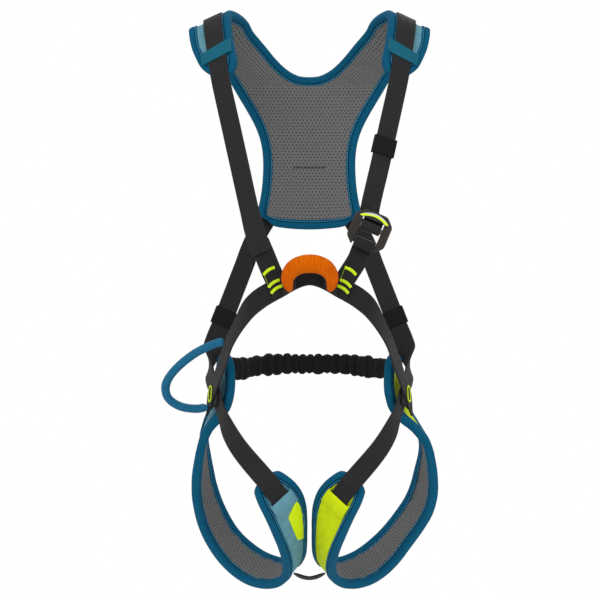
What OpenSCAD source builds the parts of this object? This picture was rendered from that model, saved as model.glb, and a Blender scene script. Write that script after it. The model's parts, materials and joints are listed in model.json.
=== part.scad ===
// Child's full-body climbing harness: webbing, padded yoke and leg loops, buckle and tie-in loop.
// Origin: the middle of the waist strap where the tie-in loop stands. +X is to the viewer's
// right, +Y runs from the chest to the back, +Z is up. "Left" is the viewer's left, -X.

/* [Fit on the body] */
// Distance between the shoulder straps at the top of the shoulders
shoulder_span = 187; // [176:1:210]
// Height of the pads' crest above the tie-in point
shoulder_rise = 251; // [235:1:280]
// Depth from the chest webbing to the back of the yoke
torso_d = 144; // [136:1:160]
// Distance between the rear straps at the hips
hip_span = 192; // [188:1:206]
// Distance of the hips behind the tie-in point
hip_y = 66; // [60:1:72]
// Drop of the hips below the tie-in point
hip_drop = 118; // [112:1:130]
// Drop of the leg loops below the hips
leg_drop = 200; // [190:1:220]
// How much farther the right leg loop flares outward than the left one
leg_flare = 11; // [0:0.5:12]

/* [Webbing] */
// Width of the load-bearing webbing
web_w = 20; // [17:0.5:21]
// Thickness of the webbing
web_t = 1.8; // [1.4:0.1:2]
// Clearance between layers that are sewn or threaded together
lay = 0.3; // [0.2:0.05:0.4]

/* [Padding] */
// Thickness of the mesh lining and of the outer cloth
cloth_t = 0.8; // [0.5:0.1:1]
// Thickness of the foam
foam_t = 4; // [3:0.25:5]
// Width of the edge binding over the padding
binding_w = 7; // [5:0.5:9]
// Thickness of the edge binding
binding_t = 0.8; // [0.6:0.1:1]

/* [Tie-in loop] */
// Radius of the loop's arch, to the middle of the sleeve
tie_r = 20; // [19.5:0.5:22]
// Width of the orange sleeve, across the arch
sleeve_w = 17.5; // [16:0.5:18.5]
// Thickness of the orange sleeve, front to back
sleeve_t = 12; // [10:0.5:13]
// Thickness of the sewn webbing inside the sleeve
tie_core_t = 4; // [3:0.25:5]
// Forward lean of the loop at rest, in degrees
tie_lean = 27; // [24:1:35]

/* [Buckle] */
// Width of the frame
buckle_w = 39; // [37:0.5:42]
// Height of the frame
buckle_h = 38; // [36:0.5:40]
// Thickness of the frame
buckle_t = 5; // [4.6:0.2:6]
// Diameter of the two bars
bar_d = 4.8; // [4.4:0.1:5]
// Travel of the sliding bar
slide_travel = 3; // [2:0.25:3]

/* [Loops, keepers and elastic] */
// Diameter of the gear loop's sleeve
gear_d = 9; // [7:0.5:9.5]
// Reach of the gear loop out from the hip
gear_reach = 45; // [40:1:60]
// Length of an elastic keeper along its strap
keeper_len = 18; // [14:1:20]
// Thickness of a keeper
keeper_t = 1.2; // [0.8:0.1:1.6]
// Play of a keeper around its strap
keeper_play = 0.5; // [0.4:0.05:0.7]
// Height of the gathered waist elastic
elastic_h = 19; // [15:0.5:21]
// Thickness of the gathered waist elastic
elastic_t = 9; // [7:0.5:10]

/* [Hidden] */

// Layers, counted outwards from the wearer
step = web_t + lay;                      // from the middle of one strap to the next one's
pad_gap = 0.1;                           // between the layers of a pad
foam_h = cloth_t + pad_gap;
shell_h = foam_h + foam_t + pad_gap;
pad_t = shell_h + cloth_t;
binding_h = pad_t + lay + binding_t;     // top of the binding over a pad
strap_h = binding_h + lay + web_t / 2;   // middle of a strap that lies on the yoke

// ---------- curves ----------

function unit(v) = v / norm(v);
function mirror_x(p) = [-p[0], p[1], p[2]];
function flip(list) = [for (i = [len(list) - 1:-1:0]) list[i]];

// A value on the smooth curve through the rows of p, at row number t
function spline(p, t) =
    let (n = len(p) - 1,
         i = min(max(floor(t), 0), n - 1),
         f = t - i,
         a = p[max(i - 1, 0)], b = p[i], c = p[i + 1], d = p[min(i + 2, n)])
    b + f / 2 * ((c - a) + f * ((2 * a - 5 * b + 4 * c - d) + f * (3 * b - a - 3 * c + d)));

// The same curve as points, with a number of steps from each row to the next
function smooth(p, steps) = [for (i = [0:(len(p) - 1) * steps]) spline(p, i / steps)];

function tangent(p, i, closed) =
    let (n = len(p))
    closed ? unit(p[(i + 1) % n] - p[(i + n - 1) % n])
           : unit(p[min(i + 1, n - 1)] - p[max(i - 1, 0)]);

// ---------- solids along a curve ----------

// A solid through a row of rings. Each ring is a lower row and an upper row, counter-clockwise
// when seen from the curve's far end.
module loft(rings, closed = false) {
    m = len(rings[0]);
    n = len(rings);
    // the lower and the upper row are split along the same diagonals, so that stacked layers fit
    sides = [for (i = [0:closed ? n - 1 : n - 2], j = [0:m - 1])
        let (k = (i + 1) % n, l = (j + 1) % m, a = i * m + j, b = i * m + l, c = k * m + l, d = k * m + j)
        each j < m / 2 ? [[a, d, c], [a, c, b]] : [[a, d, b], [b, d, c]]];
    cap = [for (i = [0:m / 2 - 2]) each [[i, i + 1, m - 2 - i], [i, m - 2 - i, m - 1 - i]]];
    caps = closed ? [] : concat(cap, [for (f = cap) [for (j = [2:-1:0]) f[j] + (n - 1) * m]]);
    polyhedron(points = [for (r = rings) each r], faces = concat(sides, caps), convexity = 8);
}

// Rings of a section carried along the points p, with its height towards the outward hints
function rings_along(p, hints, sections, closed = false) =
    [for (i = [0:len(p) - 1])
        let (t = tangent(p, i, closed), n = unit(hints[i] - t * (hints[i] * t)), e = cross(n, t))
        [for (q = sections[i]) p[i] + e * q[0] + n * q[1]]];

function repeat(value, count) = [for (i = [1:count]) value];

// A flat strap's section
function flat(w, t) = [[-w / 2, -t / 2], [w / 2, -t / 2], [w / 2, t / 2], [-w / 2, t / 2]];

// A tube's section
function oval(w, t, sides = 12) =
    [for (i = [0:sides - 1]) [w / 2 * cos(360 * i / sides), t / 2 * sin(360 * i / sides)]];

module ribbon(p, hints, w = web_w, t = web_t) {
    loft(rings_along(p, hints, repeat(flat(w, t), len(p))));
}

module both_sides(right) {
    if (right) mirror([1, 0, 0]) children();
    else children();
}

// ---------- the torso's surface ----------

// Rows from the front of the shoulder, over the crest, down the back:
// depth, height, sideways bulge, slope of the shoulder
crest = 3;
torso = [
    [0.06 * torso_d, 0.60 * shoulder_rise, 0.003, 0],
    [0.11 * torso_d, 0.76 * shoulder_rise, 0.003, 0.05],
    [0.24 * torso_d, 0.912 * shoulder_rise, 0.0022, 0.33],
    [0.50 * torso_d, 1.004 * shoulder_rise, 0, 0.46],
    [0.78 * torso_d, 0.933 * shoulder_rise, -0.0012, 0.33],
    [0.97 * torso_d, 0.76 * shoulder_rise, -0.0022, 0.08],
    [1.00 * torso_d, 0.56 * shoulder_rise, -0.0022, 0],
    [1.00 * torso_d, 0.34 * shoulder_rise, -0.0022, 0],
    [0.99 * torso_d, 0.14 * shoulder_rise, -0.0022, 0],
    [0.94 * torso_d, -0.04 * shoulder_rise, -0.0022, 0]];

half_span = shoulder_span / 2;

function skin(x, t) =
    let (r = spline(torso, t))
    [x, r[0] + r[2] * x * x, r[1] - r[3] * (abs(x) - half_span)];

function skin_out(x, t) =
    unit(cross(skin(x + 0.5, t) - skin(x - 0.5, t), skin(x, t + 0.02) - skin(x, t - 0.02)));

// The point at height h above the torso
function drape(x, t, h) = skin(x, t) + h * skin_out(x, t);

// ---------- the yoke ----------

yoke_tip = 1.1;          // row where the front tips end
yoke_tip_r = 0.4;        // rows taken by a round tip
neck_row = 4;            // row where the neckline starts to close
neck_low = 4.92;         // row of the neckline's lowest point
yoke_end = 7.66;         // row of the lower edge
yoke_end_r = 0.34;       // rows taken by a lower corner
corner_w = 11;           // width taken by a lower corner
edge_gap = binding_t + lay;   // from the binding's outside to the padding's edge

// Distances of the neckline and of the outer edge from the middle, row by row
neck_line = [for (inset = [27, 26, 18, 17, 37]) half_span - inset];
outer_line = [for (outset = [6, 7, 20, 24.5, 12, -17.5, -44.5, -45.5, -33]) half_span + outset];

// How far a round tip has opened, from 0 to 1
function opened(t) =
    t < yoke_tip + yoke_tip_r ? sqrt(max(0, 1 - pow(1 - (t - yoke_tip) / yoke_tip_r, 2))) : 1;

function neck_raw(t) = t <= neck_row ? spline(neck_line, t)
    : neck_line[neck_row] * sqrt(max(0, 1 - (t - neck_row) / (neck_low - neck_row)));
function corner_cut(t) = t <= yoke_end - yoke_end_r ? 0
    : corner_w * (1 - sqrt(max(0, 1 - pow((t - yoke_end + yoke_end_r) / yoke_end_r, 2))));

function neck_x(t) = let (o = spline(outer_line, t), i = neck_raw(t)) (o + i) / 2 - (o - i) / 2 * opened(t);
function outer_x(t) =
    let (o = spline(outer_line, t), i = neck_raw(t)) (o + i) / 2 + (o - i) / 2 * opened(t) - corner_cut(t);

// Rows at which the yoke is drawn: close together where its outline is round
tip_rows = [for (a = [0:22.5:90]) yoke_tip + yoke_tip_r * (1 - cos(a))];
side_rows = [for (t = [yoke_tip + yoke_tip_r + 0.25:0.25:neck_row - 0.1]) t];
neck_rows = [for (s = [1:-0.2:0]) neck_row + (neck_low - neck_row) * (1 - s * s)];
back_rows = [for (t = [neck_low + 0.27:0.29:yoke_end - yoke_end_r - 0.1]) t];
end_rows = [for (a = [0:30:90]) yoke_end - yoke_end_r * (1 - sin(a))];
yoke_rows = concat(tip_rows, side_rows, neck_rows, back_rows, end_rows);

// A point [x, row] of an edge, moved into the padding by the edge gap. way is 1 on the outer
// edge and -1 on the neckline, whose rows run the same way.
function row_length(x, t) = norm(skin(x, t + 0.05) - skin(x, t - 0.05)) / 0.1;
function inset(edge, i, way) =
    let (q = edge[i], k = row_length(q[0], q[1]), d = edge[min(i + 1, len(edge) - 1)] - edge[max(i - 1, 0)],
         n = unit([k * d[1], -d[0]]) * way * edge_gap)
    [q[0] + n[0], q[1] + n[1] / k];

// One half of a layer of the yoke, between two heights. The halves meet in the middle.
module yoke_layer_half(low, high) {
    cells = 3;
    overlap = 0.5;
    rows = [for (t = yoke_rows) if (t > yoke_tip + 0.001) t];
    neck = [for (t = rows) [-neck_x(t), t]];
    outer = [for (t = yoke_rows) [-outer_x(t), t]];
    rings = [for (i = [0:len(rows) - 1])
        let (t = rows[i], last = i == len(rows) - 1,
             k = edge_gap / row_length(0, t),
             a = t < neck_low - 0.001 ? inset(neck, i, -1)
                 : [overlap, t + (t < neck_low + 0.001 ? k : last ? -k : 0)],
             b = last ? [edge_gap - outer_x(t), t - k] : inset(outer, i + 1, 1))
        concat([for (j = [0:cells]) let (q = a + (b - a) * j / cells) drape(q[0], q[1], low)],
               [for (j = [cells:-1:0]) let (q = a + (b - a) * j / cells) drape(q[0], q[1], high)])];
    loft(rings);
}

module yoke_layer(low, high) {
    yoke_layer_half(low, high);
    mirror([1, 0, 0]) yoke_layer_half(low, high);
}

// The folded band's section: it stands over the padding's edge, inside and out
function fold_section(thick) = let (w = edge_gap - binding_w, o = lay + binding_t)
    [[w, -o], [0, -o], [0, thick + o], [w, thick + o],
     [w, thick + lay], [-binding_t, thick + lay], [-binding_t, -lay], [w, -lay]];

// The yoke's whole edge, as distance from the middle and row
bottom_x = outer_x(yoke_end);
yoke_edge = concat(
    [for (t = yoke_rows) [-outer_x(t), t]],
    [for (k = [-3:3]) [bottom_x * k / 4, yoke_end]],
    [for (t = flip(yoke_rows)) [outer_x(t), t]],
    [for (t = yoke_rows) if (t > yoke_tip + 0.001 && t <= neck_low) [neck_x(t), t]],
    [for (t = flip(yoke_rows)) if (t > yoke_tip + 0.001 && t < neck_low - 0.001) [-neck_x(t), t]]);

module yoke_lining() { color("#6b6b6b") yoke_layer(0, cloth_t); }
module yoke_foam() { color("#3c3c3e") yoke_layer(foam_h, foam_h + foam_t); }
module yoke_shell() { color("#6a9ba5") yoke_layer(shell_h, pad_t); }
module yoke_binding() {
    p = [for (q = yoke_edge) drape(q[0], q[1], 0)];
    n = [for (q = yoke_edge) skin_out(q[0], q[1])];
    color("#1b6a96") loft(rings_along(p, n, repeat(fold_section(pad_t), len(p)), true), true);
}

// ---------- shoulder straps ----------

// Where the left shoulder strap runs on the torso, row by row: it crosses to the right hip
strap_line = [for (s = [0.85, 0.90, 0.968, 1, 0.877, 0.556, 0.15, -0.257, -0.60]) -s * half_span];
cross_row = 6.4;

// The upper strap rises over the lower one around the crossing
function cross_lift(t, over) = over ? step * min(1, max(0, 2.2 - 1.6 * abs(t - cross_row))) : 0;
function strap_on_yoke(t, over) = drape(spline(strap_line, t), t, strap_h + cross_lift(t, over));

// Straight run down the front, from the yoke to the chest
chest_y = -2 * step;
run_top = strap_on_yoke(1, false);
run_end = [-0.62 * half_span, 1, 60];
front_out = unit([-0.4, -1, 0]);
function front_run(s) = run_end + (run_top - run_end) * s;

// Straight run down the back, from the yoke to the side of the hip
rear_top = strap_on_yoke(8, false);
rear_end = [hip_span / 2 + 2, hip_y + 42, 46 - hip_drop];
rear_out = unit([0.25, 1, 0]);
function rear_run(s) = rear_top + (rear_end - rear_top) * s;

// Middle of a strap at the hip; layer 0 is the rear strap, 1 lies outside it. All layers there
// share one plane, and the leg strap inside them has play to swing.
hip_out = unit([-0.935, -0.335, 0.12]);
hip_play = 0.5;
function hip(layer) =
    [-hip_span / 2, hip_y, -hip_drop] + hip_out * (layer * step - (layer < 0 ? hip_play : 0));

// The shoulder strap's lower end: sewn on the chest tab, or turned around the buckle's bar
sewn_end = [[-45.5, chest_y, 22], [-52, chest_y, 38]];
function shoulder_points(over, buckled) = concat(
    buckled ? buckle_turn_points() : sewn_end,
    [for (s = [0:1 / 3:0.99]) front_run(s)],
    [for (t = [1:0.5:7.5]) strap_on_yoke(t, over)],
    [for (s = [0:0.2:1]) rear_run(s)],
    [for (d = [[-4.8, 24, 23], [-2, 10, 11], [0, 0, 0], [0.3, -6, -12]]) mirror_x(hip(0) + d)]);
function shoulder_hints(buckled) = concat(
    buckled ? buckle_turn_hints() : repeat([0, -1, 0], len(sewn_end)),
    repeat(front_out, 3),
    [for (t = [1:0.5:7.5]) skin_out(spline(strap_line, t), t)],
    repeat(rear_out, 6),
    repeat(mirror_x(hip_out), 4));

module shoulder_strap(over, buckled) {
    steps = 2;
    p = smooth(shoulder_points(over, buckled), steps);
    n = smooth(shoulder_hints(buckled), steps);
    color("#2b2b2b") ribbon(p, n);
}
module shoulder_strap_left() { shoulder_strap(false, false); }
module shoulder_strap_right() { mirror([1, 0, 0]) shoulder_strap(true, true); }

// The cloth band that holds the strap to the front of the yoke; it rises towards the neck
module shoulder_retainer() {
    rows = [for (t = [1.5:0.1:1.9]) t];
    skew = 0.007;
    half = web_w / 2 + 4;
    leg = web_w / 2 + lay + 0.4;
    foot = binding_h + lay / 2;
    inside = strap_h + web_t / 2 + 1.5 * lay;
    top = inside + cloth_t;
    section = [[-half, foot], [-half, top], [half, top], [half, foot],
               [leg, foot], [leg, inside], [-leg, inside], [-leg, foot]];
    rings = [for (t = rows) [for (q = section) drape(spline(strap_line, t) + q[0], t + skew * q[0], q[1])]];
    color("#17859e") loft(rings);
}
module shoulder_retainer_left() { shoulder_retainer(); }
module shoulder_retainer_right() { mirror([1, 0, 0]) shoulder_retainer(); }

// The stitched cloth patch over the crossing of the straps
module back_cross_tack() {
    low = strap_h + step + web_t / 2 + lay;
    half_w = 17;
    rings = [for (t = [cross_row - 0.14, cross_row, cross_row + 0.14])
        concat([for (x = [half_w:-half_w:-half_w]) drape(x, t, low)],
               [for (x = [-half_w:half_w:half_w]) drape(x, t, low + cloth_t)])];
    color("#2b2b2b") loft(rings);
}

// ---------- chest tabs, buckle ----------

tab_y = -step;
tab_foot = [[-25, tab_y, -20], [-31, tab_y, -9]];
tab_run = [[-37, tab_y, 3], [-44, tab_y, 20], [-49.5, tab_y, 33]];

// The buckle's own directions: across, up along the tab, and out to the viewer
buckle_turn = 23;
bu = [cos(buckle_turn), 0, sin(buckle_turn)];
bv = [-sin(buckle_turn), 0, cos(buckle_turn)];
bn = [0, -1, 0];
bar_play = 0.45;                            // between a bar and the strap around it
wrap_r = bar_d / 2 + bar_play + web_t / 2;  // from a bar's middle to the middle of that strap
buckle_at = [-58, tab_y - wrap_r, 43];
bar_low = -buckle_h / 2 + 6;               // the fixed bar, up from the buckle's middle
bar_high = 3;                              // the sliding bar at rest
function in_buckle(v, n) = buckle_at + bv * v + bn * n;

// A half turn around a bar, from behind it to the front. way is -1 below the bar and 1 above it.
function turn_points(bar, way) =
    [for (a = [0:30:180]) in_buckle(bar + way * wrap_r * sin(a), -wrap_r * cos(a))];
function turn_hints(way) = [for (a = [0:30:180]) -way * sin(a) * bv + cos(a) * bn];

turn_tail = 5;
function buckle_turn_points() = concat(
    [in_buckle(bar_high + turn_tail, wrap_r)], flip(turn_points(bar_high, -1)),
    [for (k = [1, 2, 3]) in_buckle(bar_high + turn_tail * k, -wrap_r - 0.15 * k)]);
function buckle_turn_hints() = concat([-bn], flip(turn_hints(-1)), [bn, bn, bn]);

module chest_tab_left() {
    p = smooth(concat(tab_foot, tab_run), 2);
    color("#262628") ribbon(p, repeat([0, -1, 0], len(p)));
}

module chest_tab_right() {
    rise = [[-37.5, tab_y, 1], [-46, tab_y, 14.5], in_buckle(bar_low - 8, -wrap_r)];
    fold = [in_buckle(bar_low - 6.5, wrap_r)];
    p = concat(tab_foot, rise, turn_points(bar_low, 1), fold);
    n = concat(repeat(bn, 5), turn_hints(1), [-bn]);
    color("#262628") mirror([1, 0, 0]) ribbon(p, n);
}

// Three curved rows of bar tack on a chest tab
module chest_tacks() {
    tack_w = 2.8;
    arc_r = 12;
    front = tab_y - web_t / 2;
    for (c = [[-33.6, -4.7], [-28.8, -16.8], [-26.2, -22.6]])
        translate([c[0], front, c[1]]) rotate([90, 0, 0]) linear_extrude(cloth_t)
            polygon(concat([for (a = [92:5:157]) (arc_r + tack_w / 2) * [cos(a), sin(a)]],
                           [for (a = [157:-5:92]) (arc_r - tack_w / 2) * [cos(a), sin(a)]]));
}
module chest_tacks_left() { color("#dcff10") chest_tacks(); }
module chest_tacks_right() { color("#dcff10") mirror([1, 0, 0]) chest_tacks(); }

module at_buckle() {
    mirror([1, 0, 0]) translate(buckle_at) rotate([90, -buckle_turn, 0]) children();
}

window_w = web_w + 2.4;
rail_top = buckle_h / 2 - 8;
groove = 4;               // depth of the slots that the sliding bar's ends run in
tongue_t = 2.6;           // thickness of the sliding bar's ends
chamfer = 8;

module buckle_outline() {
    w = buckle_w / 2;
    h = buckle_h / 2;
    polygon([[-w, -h + chamfer], [-w + chamfer, -h], [w - chamfer, -h], [w, -h + chamfer],
             [w, h - chamfer], [w - chamfer, h], [-w + chamfer, h], [-w, h - chamfer]]);
}

module buckle_frame() {
    color("#2a2522") at_buckle() {
        difference() {
            translate([0, 0, -buckle_t / 2]) linear_extrude(buckle_t) difference() {
                buckle_outline();
                translate([-window_w / 2, -buckle_h]) square([window_w, buckle_h + rail_top]);
            }
            // the slots for the sliding bar
            translate([-window_w / 2 - groove, bar_high - bar_d / 2 - lay, -tongue_t / 2 - lay])
                cube([window_w + 2 * groove, bar_d + slide_travel + 2 * lay, tongue_t + 2 * lay]);
        }
        translate([-window_w / 2, bar_low, 0]) rotate([0, 90, 0]) cylinder(d = bar_d, h = window_w, $fn = 32);
    }
}

module buckle_slider() {
    end_w = window_w + 2 * groove - 2 * lay;
    color("#6e6e70") at_buckle() translate([0, bar_high, 0]) {
        translate([-window_w / 2 + lay, 0, 0]) rotate([0, 90, 0])
            cylinder(d = bar_d, h = window_w - 2 * lay, $fn = 32);
        translate([-end_w / 2, -bar_d / 2, -tongue_t / 2]) cube([end_w, bar_d, tongue_t]);
    }
}

// A plain coloured band on the frame's upper rail
module buckle_accent() {
    band_r = 22;
    color("#dcff10") at_buckle() translate([0, 0, buckle_t / 2]) linear_extrude(0.6) intersection() {
        difference() {
            translate([0, rail_top + 6.4 - band_r]) circle(band_r, $fn = 96);
            translate([0, rail_top + 3.2 - band_r]) circle(band_r, $fn = 96);
        }
        translate([-buckle_w / 2 + 5, rail_top]) square([buckle_w - 10, 8]);
    }
}

// ---------- keepers ----------

// A band around a straight stretch of strap, from its middle along the direction dir
module keeper(middle, dir, out) {
    inner_w = web_w + 2 * keeper_play;
    inner_t = web_t + 2 * keeper_play;
    ends = [middle - dir * keeper_len / 2, middle + dir * keeper_len / 2];
    hole = [middle - dir * keeper_len, middle + dir * keeper_len];
    color("#171717") difference() {
        ribbon(ends, [out, out], inner_w + 2 * keeper_t, inner_t + 2 * keeper_t);
        ribbon(hole, [out, out], inner_w, inner_t);
    }
}
front_dir = unit(run_top - run_end);
rear_dir = unit(rear_top - rear_end);
module keeper_front() { mirror([1, 0, 0]) keeper(front_run(0.5), front_dir, front_out); }
module keeper_rear_right() { keeper(rear_run(0.72), rear_dir, rear_out); }
module keeper_rear_left() { mirror([1, 0, 0]) keeper_rear_right(); }

// ---------- waist strap and tie-in loop ----------

waist_half = [
    [0, 0, 1], [-15, 0, -3.5], [-30, 0, -12], [-46, 1.5, -21], [-59, 9, -32], [-69, 20, -47],
    hip(1) + [19, -35, 52], hip(1) + [12.4, -22, 33], hip(1) + [5.8, -10.5, 16], hip(1),
    hip(1) + [-2.1, 2, -11], hip(1) + [-4.5, 3, -22]];
waist_out = concat([for (a = [0, 0, 0, 10, 42, 66, 74, 72]) [-sin(a), -cos(a), 0]], repeat(hip_out, 4));
waist_taper = [1, 1, 1, 1, 1, 1, 1, 1, 1, 1, 0.7, 0.1];
function waist_point(t, h) =
    let (d = unit(spline(waist_half, t + 0.05) - spline(waist_half, t - 0.05)), n = spline(waist_out, t))
    spline(waist_half, t) + h * unit(n - d * (n * d));

function both_halves(left) = concat(flip(left), [for (i = [1:len(left) - 1]) mirror_x(left[i])]);

module waist_strap() {
    steps = 2;
    p = smooth(both_halves(waist_half), steps);
    n = smooth(both_halves(waist_out), steps);
    taper = smooth(both_halves([for (k = waist_taper) [0, k, 0]]), steps);
    color("#2b2b2b") loft(rings_along(p, n, [for (k = taper) flat(web_w * min(1, k[1]), web_t)]));
}

// Places what is drawn around the origin at o, with its +Z along out and its +Y near up
module on_frame(o, out, up) {
    w = unit(out);
    u = unit(cross(up, w));
    v = cross(w, u);
    multmatrix([for (i = [0:2]) [u[i], v[i], w[i], o[i]]]) children();
}

hip_row = 9;              // the row of the waist strap's route that lies at the hip
tack_seat = 0.25;         // keeps the flat tack clear of the curving strap

// An oval ring of bar tack on the outside of each hip
module hip_tack() {
    r = 4.2;
    tack_w = 2;
    straight = 7;
    on_frame(waist_point(hip_row, web_t / 2 + tack_seat), hip_out, [0, 0.2, 1])
    linear_extrude(cloth_t) difference() {
        union() {
            for (s = [-1, 1]) translate([0, s * straight / 2]) circle(r + tack_w / 2, $fn = 40);
            square([2 * r + tack_w, straight], center = true);
        }
        union() {
            for (s = [-1, 1]) translate([0, s * straight / 2]) circle(r - tack_w / 2, $fn = 40);
            square([2 * r - tack_w, straight], center = true);
        }
    }
}
module hip_tack_left() { color("#dcff10") hip_tack(); }
module hip_tack_right() { color("#dcff10") mirror([1, 0, 0]) hip_tack(); }

tie_leg = 12;             // from the hinge line to the arch's middle
tie_core_w = sleeve_w - 5;
tie_bead = tie_core_t + 1;    // the rolled ends of the webbing, at the hinge line
tie_at = [0, tab_y - web_t / 2 - lay - tie_bead / 2, -18];

module at_tie() {
    translate(tie_at) rotate([tie_lean, 0, 0]) children();
}

// The webbing inside the loop: a flat arch with two legs, rolled at their ends
module tie_in_core() {
    inner = tie_r - tie_core_w / 2;
    outer = tie_r + tie_core_w / 2;
    color("#303033") at_tie() {
        translate([0, tie_core_t / 2, tie_leg]) rotate([90, 0, 0]) linear_extrude(tie_core_t) difference() {
            union() {
                circle(outer, $fn = 72);
                translate([-outer, -tie_leg]) square([2 * outer, tie_leg]);
            }
            circle(inner, $fn = 72);
            translate([-inner, -2 * outer]) square([2 * inner, 2 * outer]);
            translate([-2 * outer, -2 * outer - tie_leg]) square([4 * outer, 2 * outer]);
        }
        for (s = [-1, 1]) translate([s * tie_r - tie_core_w / 2, 0, 0]) rotate([0, 90, 0])
            cylinder(d = tie_bead, h = tie_core_w, $fn = 32);
    }
}

module tie_in_sleeve() {
    color("#f77a10") at_tie() translate([0, 0, tie_leg]) rotate([90, 0, 0])
        rotate_extrude(angle = 180, $fn = 72)
        translate([tie_r, 0]) difference() {
            polygon(oval(sleeve_w, sleeve_t, 20));
            square([tie_core_w + 2 * lay, tie_core_t + 2 * lay], center = true);
        }
}

// ---------- gear loop ----------

gear_r = gear_d / 2;
gear_top = waist_point(6, web_t / 2 + 2 * lay + gear_r);
gear_foot = waist_point(10.05, web_t / 2 + 3 * lay + gear_r);
// The loop's outermost point, and its points between the ends: shares of the way out and of the
// way back, and the drop below the upper end
gear_far = [hip(1)[0] - gear_reach, gear_foot[1] + 8];
gear_way = [[0.22, 0.10, -4], [0.52, 0.30, -13], [0.83, 0.52, -28], [1, 0.72, -43],
            [0.97, 0.87, -57], [0.75, 0.98, -66], [0.45, 1.02, -68]];
gear_route = concat([gear_top],
    [for (q = gear_way)
        [gear_top[0] + (gear_far[0] - gear_top[0]) * q[0], gear_top[1] + (gear_far[1] - gear_top[1]) * q[1],
         gear_top[2] + q[2]]],
    [gear_foot]);

gear_path = smooth(gear_route, 3);

// A tube along the loop, which leaves out some points at each end
module gear_tube(d, trim = 0) {
    p = [for (i = [trim:len(gear_path) - 1 - trim]) gear_path[i]];
    loft(rings_along(p, repeat([0, -1, 0], len(p)), repeat(oval(d, d, 10), len(p))));
}

// The sleeve has rounded ends, and holds the core in a closed bore
module gear_loop_sleeve() {
    cap = [72, 36];
    last = len(gear_path) - 1;
    into = unit(gear_path[1] - gear_path[0]);
    away = unit(gear_path[last] - gear_path[last - 1]);
    p = concat([for (a = cap) gear_path[0] - into * gear_r * sin(a)], gear_path,
        [for (a = flip(cap)) gear_path[last] + away * gear_r * sin(a)]);
    size = concat([for (a = cap) cos(a)], repeat(1, last + 1), [for (a = flip(cap)) cos(a)]);
    color("#1b6a96") difference() {
        loft(rings_along(p, repeat([0, -1, 0], len(p)), [for (k = size) oval(gear_d * k, gear_d * k, 10)]));
        gear_tube(gear_d / 2 + 2 * lay);
    }
}
module gear_loop_core() { color("#1d1d1f") gear_tube(gear_d / 2, 1); }

// ---------- leg loops ----------

// Both edges of the left leg loop's padding, row by row, from the hip down the outside, behind
// and under the thigh, and up between the legs to the front. Measured from the hip.
leg_h = leg_drop / 200;
function from_hip(p) = [p[0] - hip_span / 2 + 96, p[1] + hip_y - 66, p[2] * leg_h - hip_drop];
leg_front_edge = [for (p = [
    [-80, 60, 40], [-77, 59, 10], [-82.5, 62, -15], [-101, 67, -37], [-112, 85, -67], [-116, 106, -104],
    [-109, 122, -141], [-91, 130, -173], [-67, 128, -193], [-42, 116, -197], [-26, 94, -186],
    [-26, 66, -165], [-34, 44, -142], [-42, 29, -123], [-50, 19, -106], [-55, 14, -90]]) from_hip(p)];
leg_back_edge = [for (p = [
    [-90, 94, 39], [-92, 93, 8], [-100, 97, -19], [-106, 106, -44], [-101, 126, -76], [-93, 146, -109],
    [-75, 154, -143], [-49, 153, -165], [-27, 146, -173], [-13.5, 133, -172], [-7, 112, -163],
    [-5.5, 84, -139], [-5.5, 58, -112], [-10.5, 38, -93], [-21, 24, -80], [-33, 16, -72]]) from_hip(p)];
leg_last = len(leg_front_edge) - 1;
leg_out = pad_t / 2;      // outside of the padding, from its middle
leg_fold = leg_out + lay + binding_t;

function leg_mid(t) = (spline(leg_front_edge, t) + spline(leg_back_edge, t)) / 2;
// How far a round end has opened
leg_round = 0.5;
function leg_opened(t) =
    let (s = min(t, leg_last - t) / leg_round) s < 1 ? sqrt(max(0, 1 - (1 - s) * (1 - s))) : 1;
function leg_width(t) = norm(spline(leg_back_edge, t) - spline(leg_front_edge, t));

// The padding bulges away from the thigh between its edges. u goes from the front edge, 0, to
// the back edge, 1.
leg_crown = 2;
leg_fade = 1.5;           // rows over which the bulge fades at each end
leg_cells = [0, 0.22, 0.78, 1];
function ease(s) = let (t = min(1, max(0, s))) t * t * (3 - 2 * t);
function leg_bulge(t) = leg_crown * ease(min(t, leg_last - t) / leg_fade);
// The bulge rises across the first cell, is flat across the middle one, and falls again
function leg_arch(u) = min(u, 1 - u, leg_cells[1]) * 4 * (1 - leg_cells[1]);
function leg_slope(t, u) = leg_bulge(t) * 4 * (1 - leg_cells[1]) * (1 - 2 * u) / leg_width(t);
function leg_side(t) = unit(spline(leg_back_edge, t) - spline(leg_front_edge, t));
function leg_normal(t) = let (a = min(max(t, 0.06), leg_last - 0.06))
    unit(cross(leg_side(a), leg_mid(a + 0.05) - leg_mid(a - 0.05)));
function leg_skin_out(t, u) = unit(leg_normal(t) - leg_side(t) * leg_slope(t, u));
function leg_skin(t, u) = spline(leg_front_edge, t) * (1 - u) + spline(leg_back_edge, t) * u
    + leg_normal(t) * leg_bulge(t) * leg_arch(u);

// The point at height h from the middle of the padding's thickness
function leg_at(t, u, h) = leg_skin(t, u) + leg_skin_out(t, u) * h;

leg_end_rows = [for (a = [0:22.5:90]) leg_round * (1 - cos(a))];
leg_rows = concat(leg_end_rows, [for (t = [1:0.5:leg_last - 1]) t],
    flip([for (t = leg_end_rows) leg_last - t]));
function edge_u(t, side) = 0.5 + side * (0.5 * leg_opened(t));

// The whole edge, as row and share: down the front edge, round the end, back up the back edge
leg_edge = concat([for (t = leg_rows) [t, edge_u(t, -1)]],
    [for (t = flip(leg_rows)) if (leg_opened(t) > 0.01) [t, edge_u(t, 1)]]);
leg_edge_points = [for (q = leg_edge) leg_skin(q[0], q[1])];
leg_edge_out = [for (q = leg_edge) leg_skin_out(q[0], q[1])];

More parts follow.
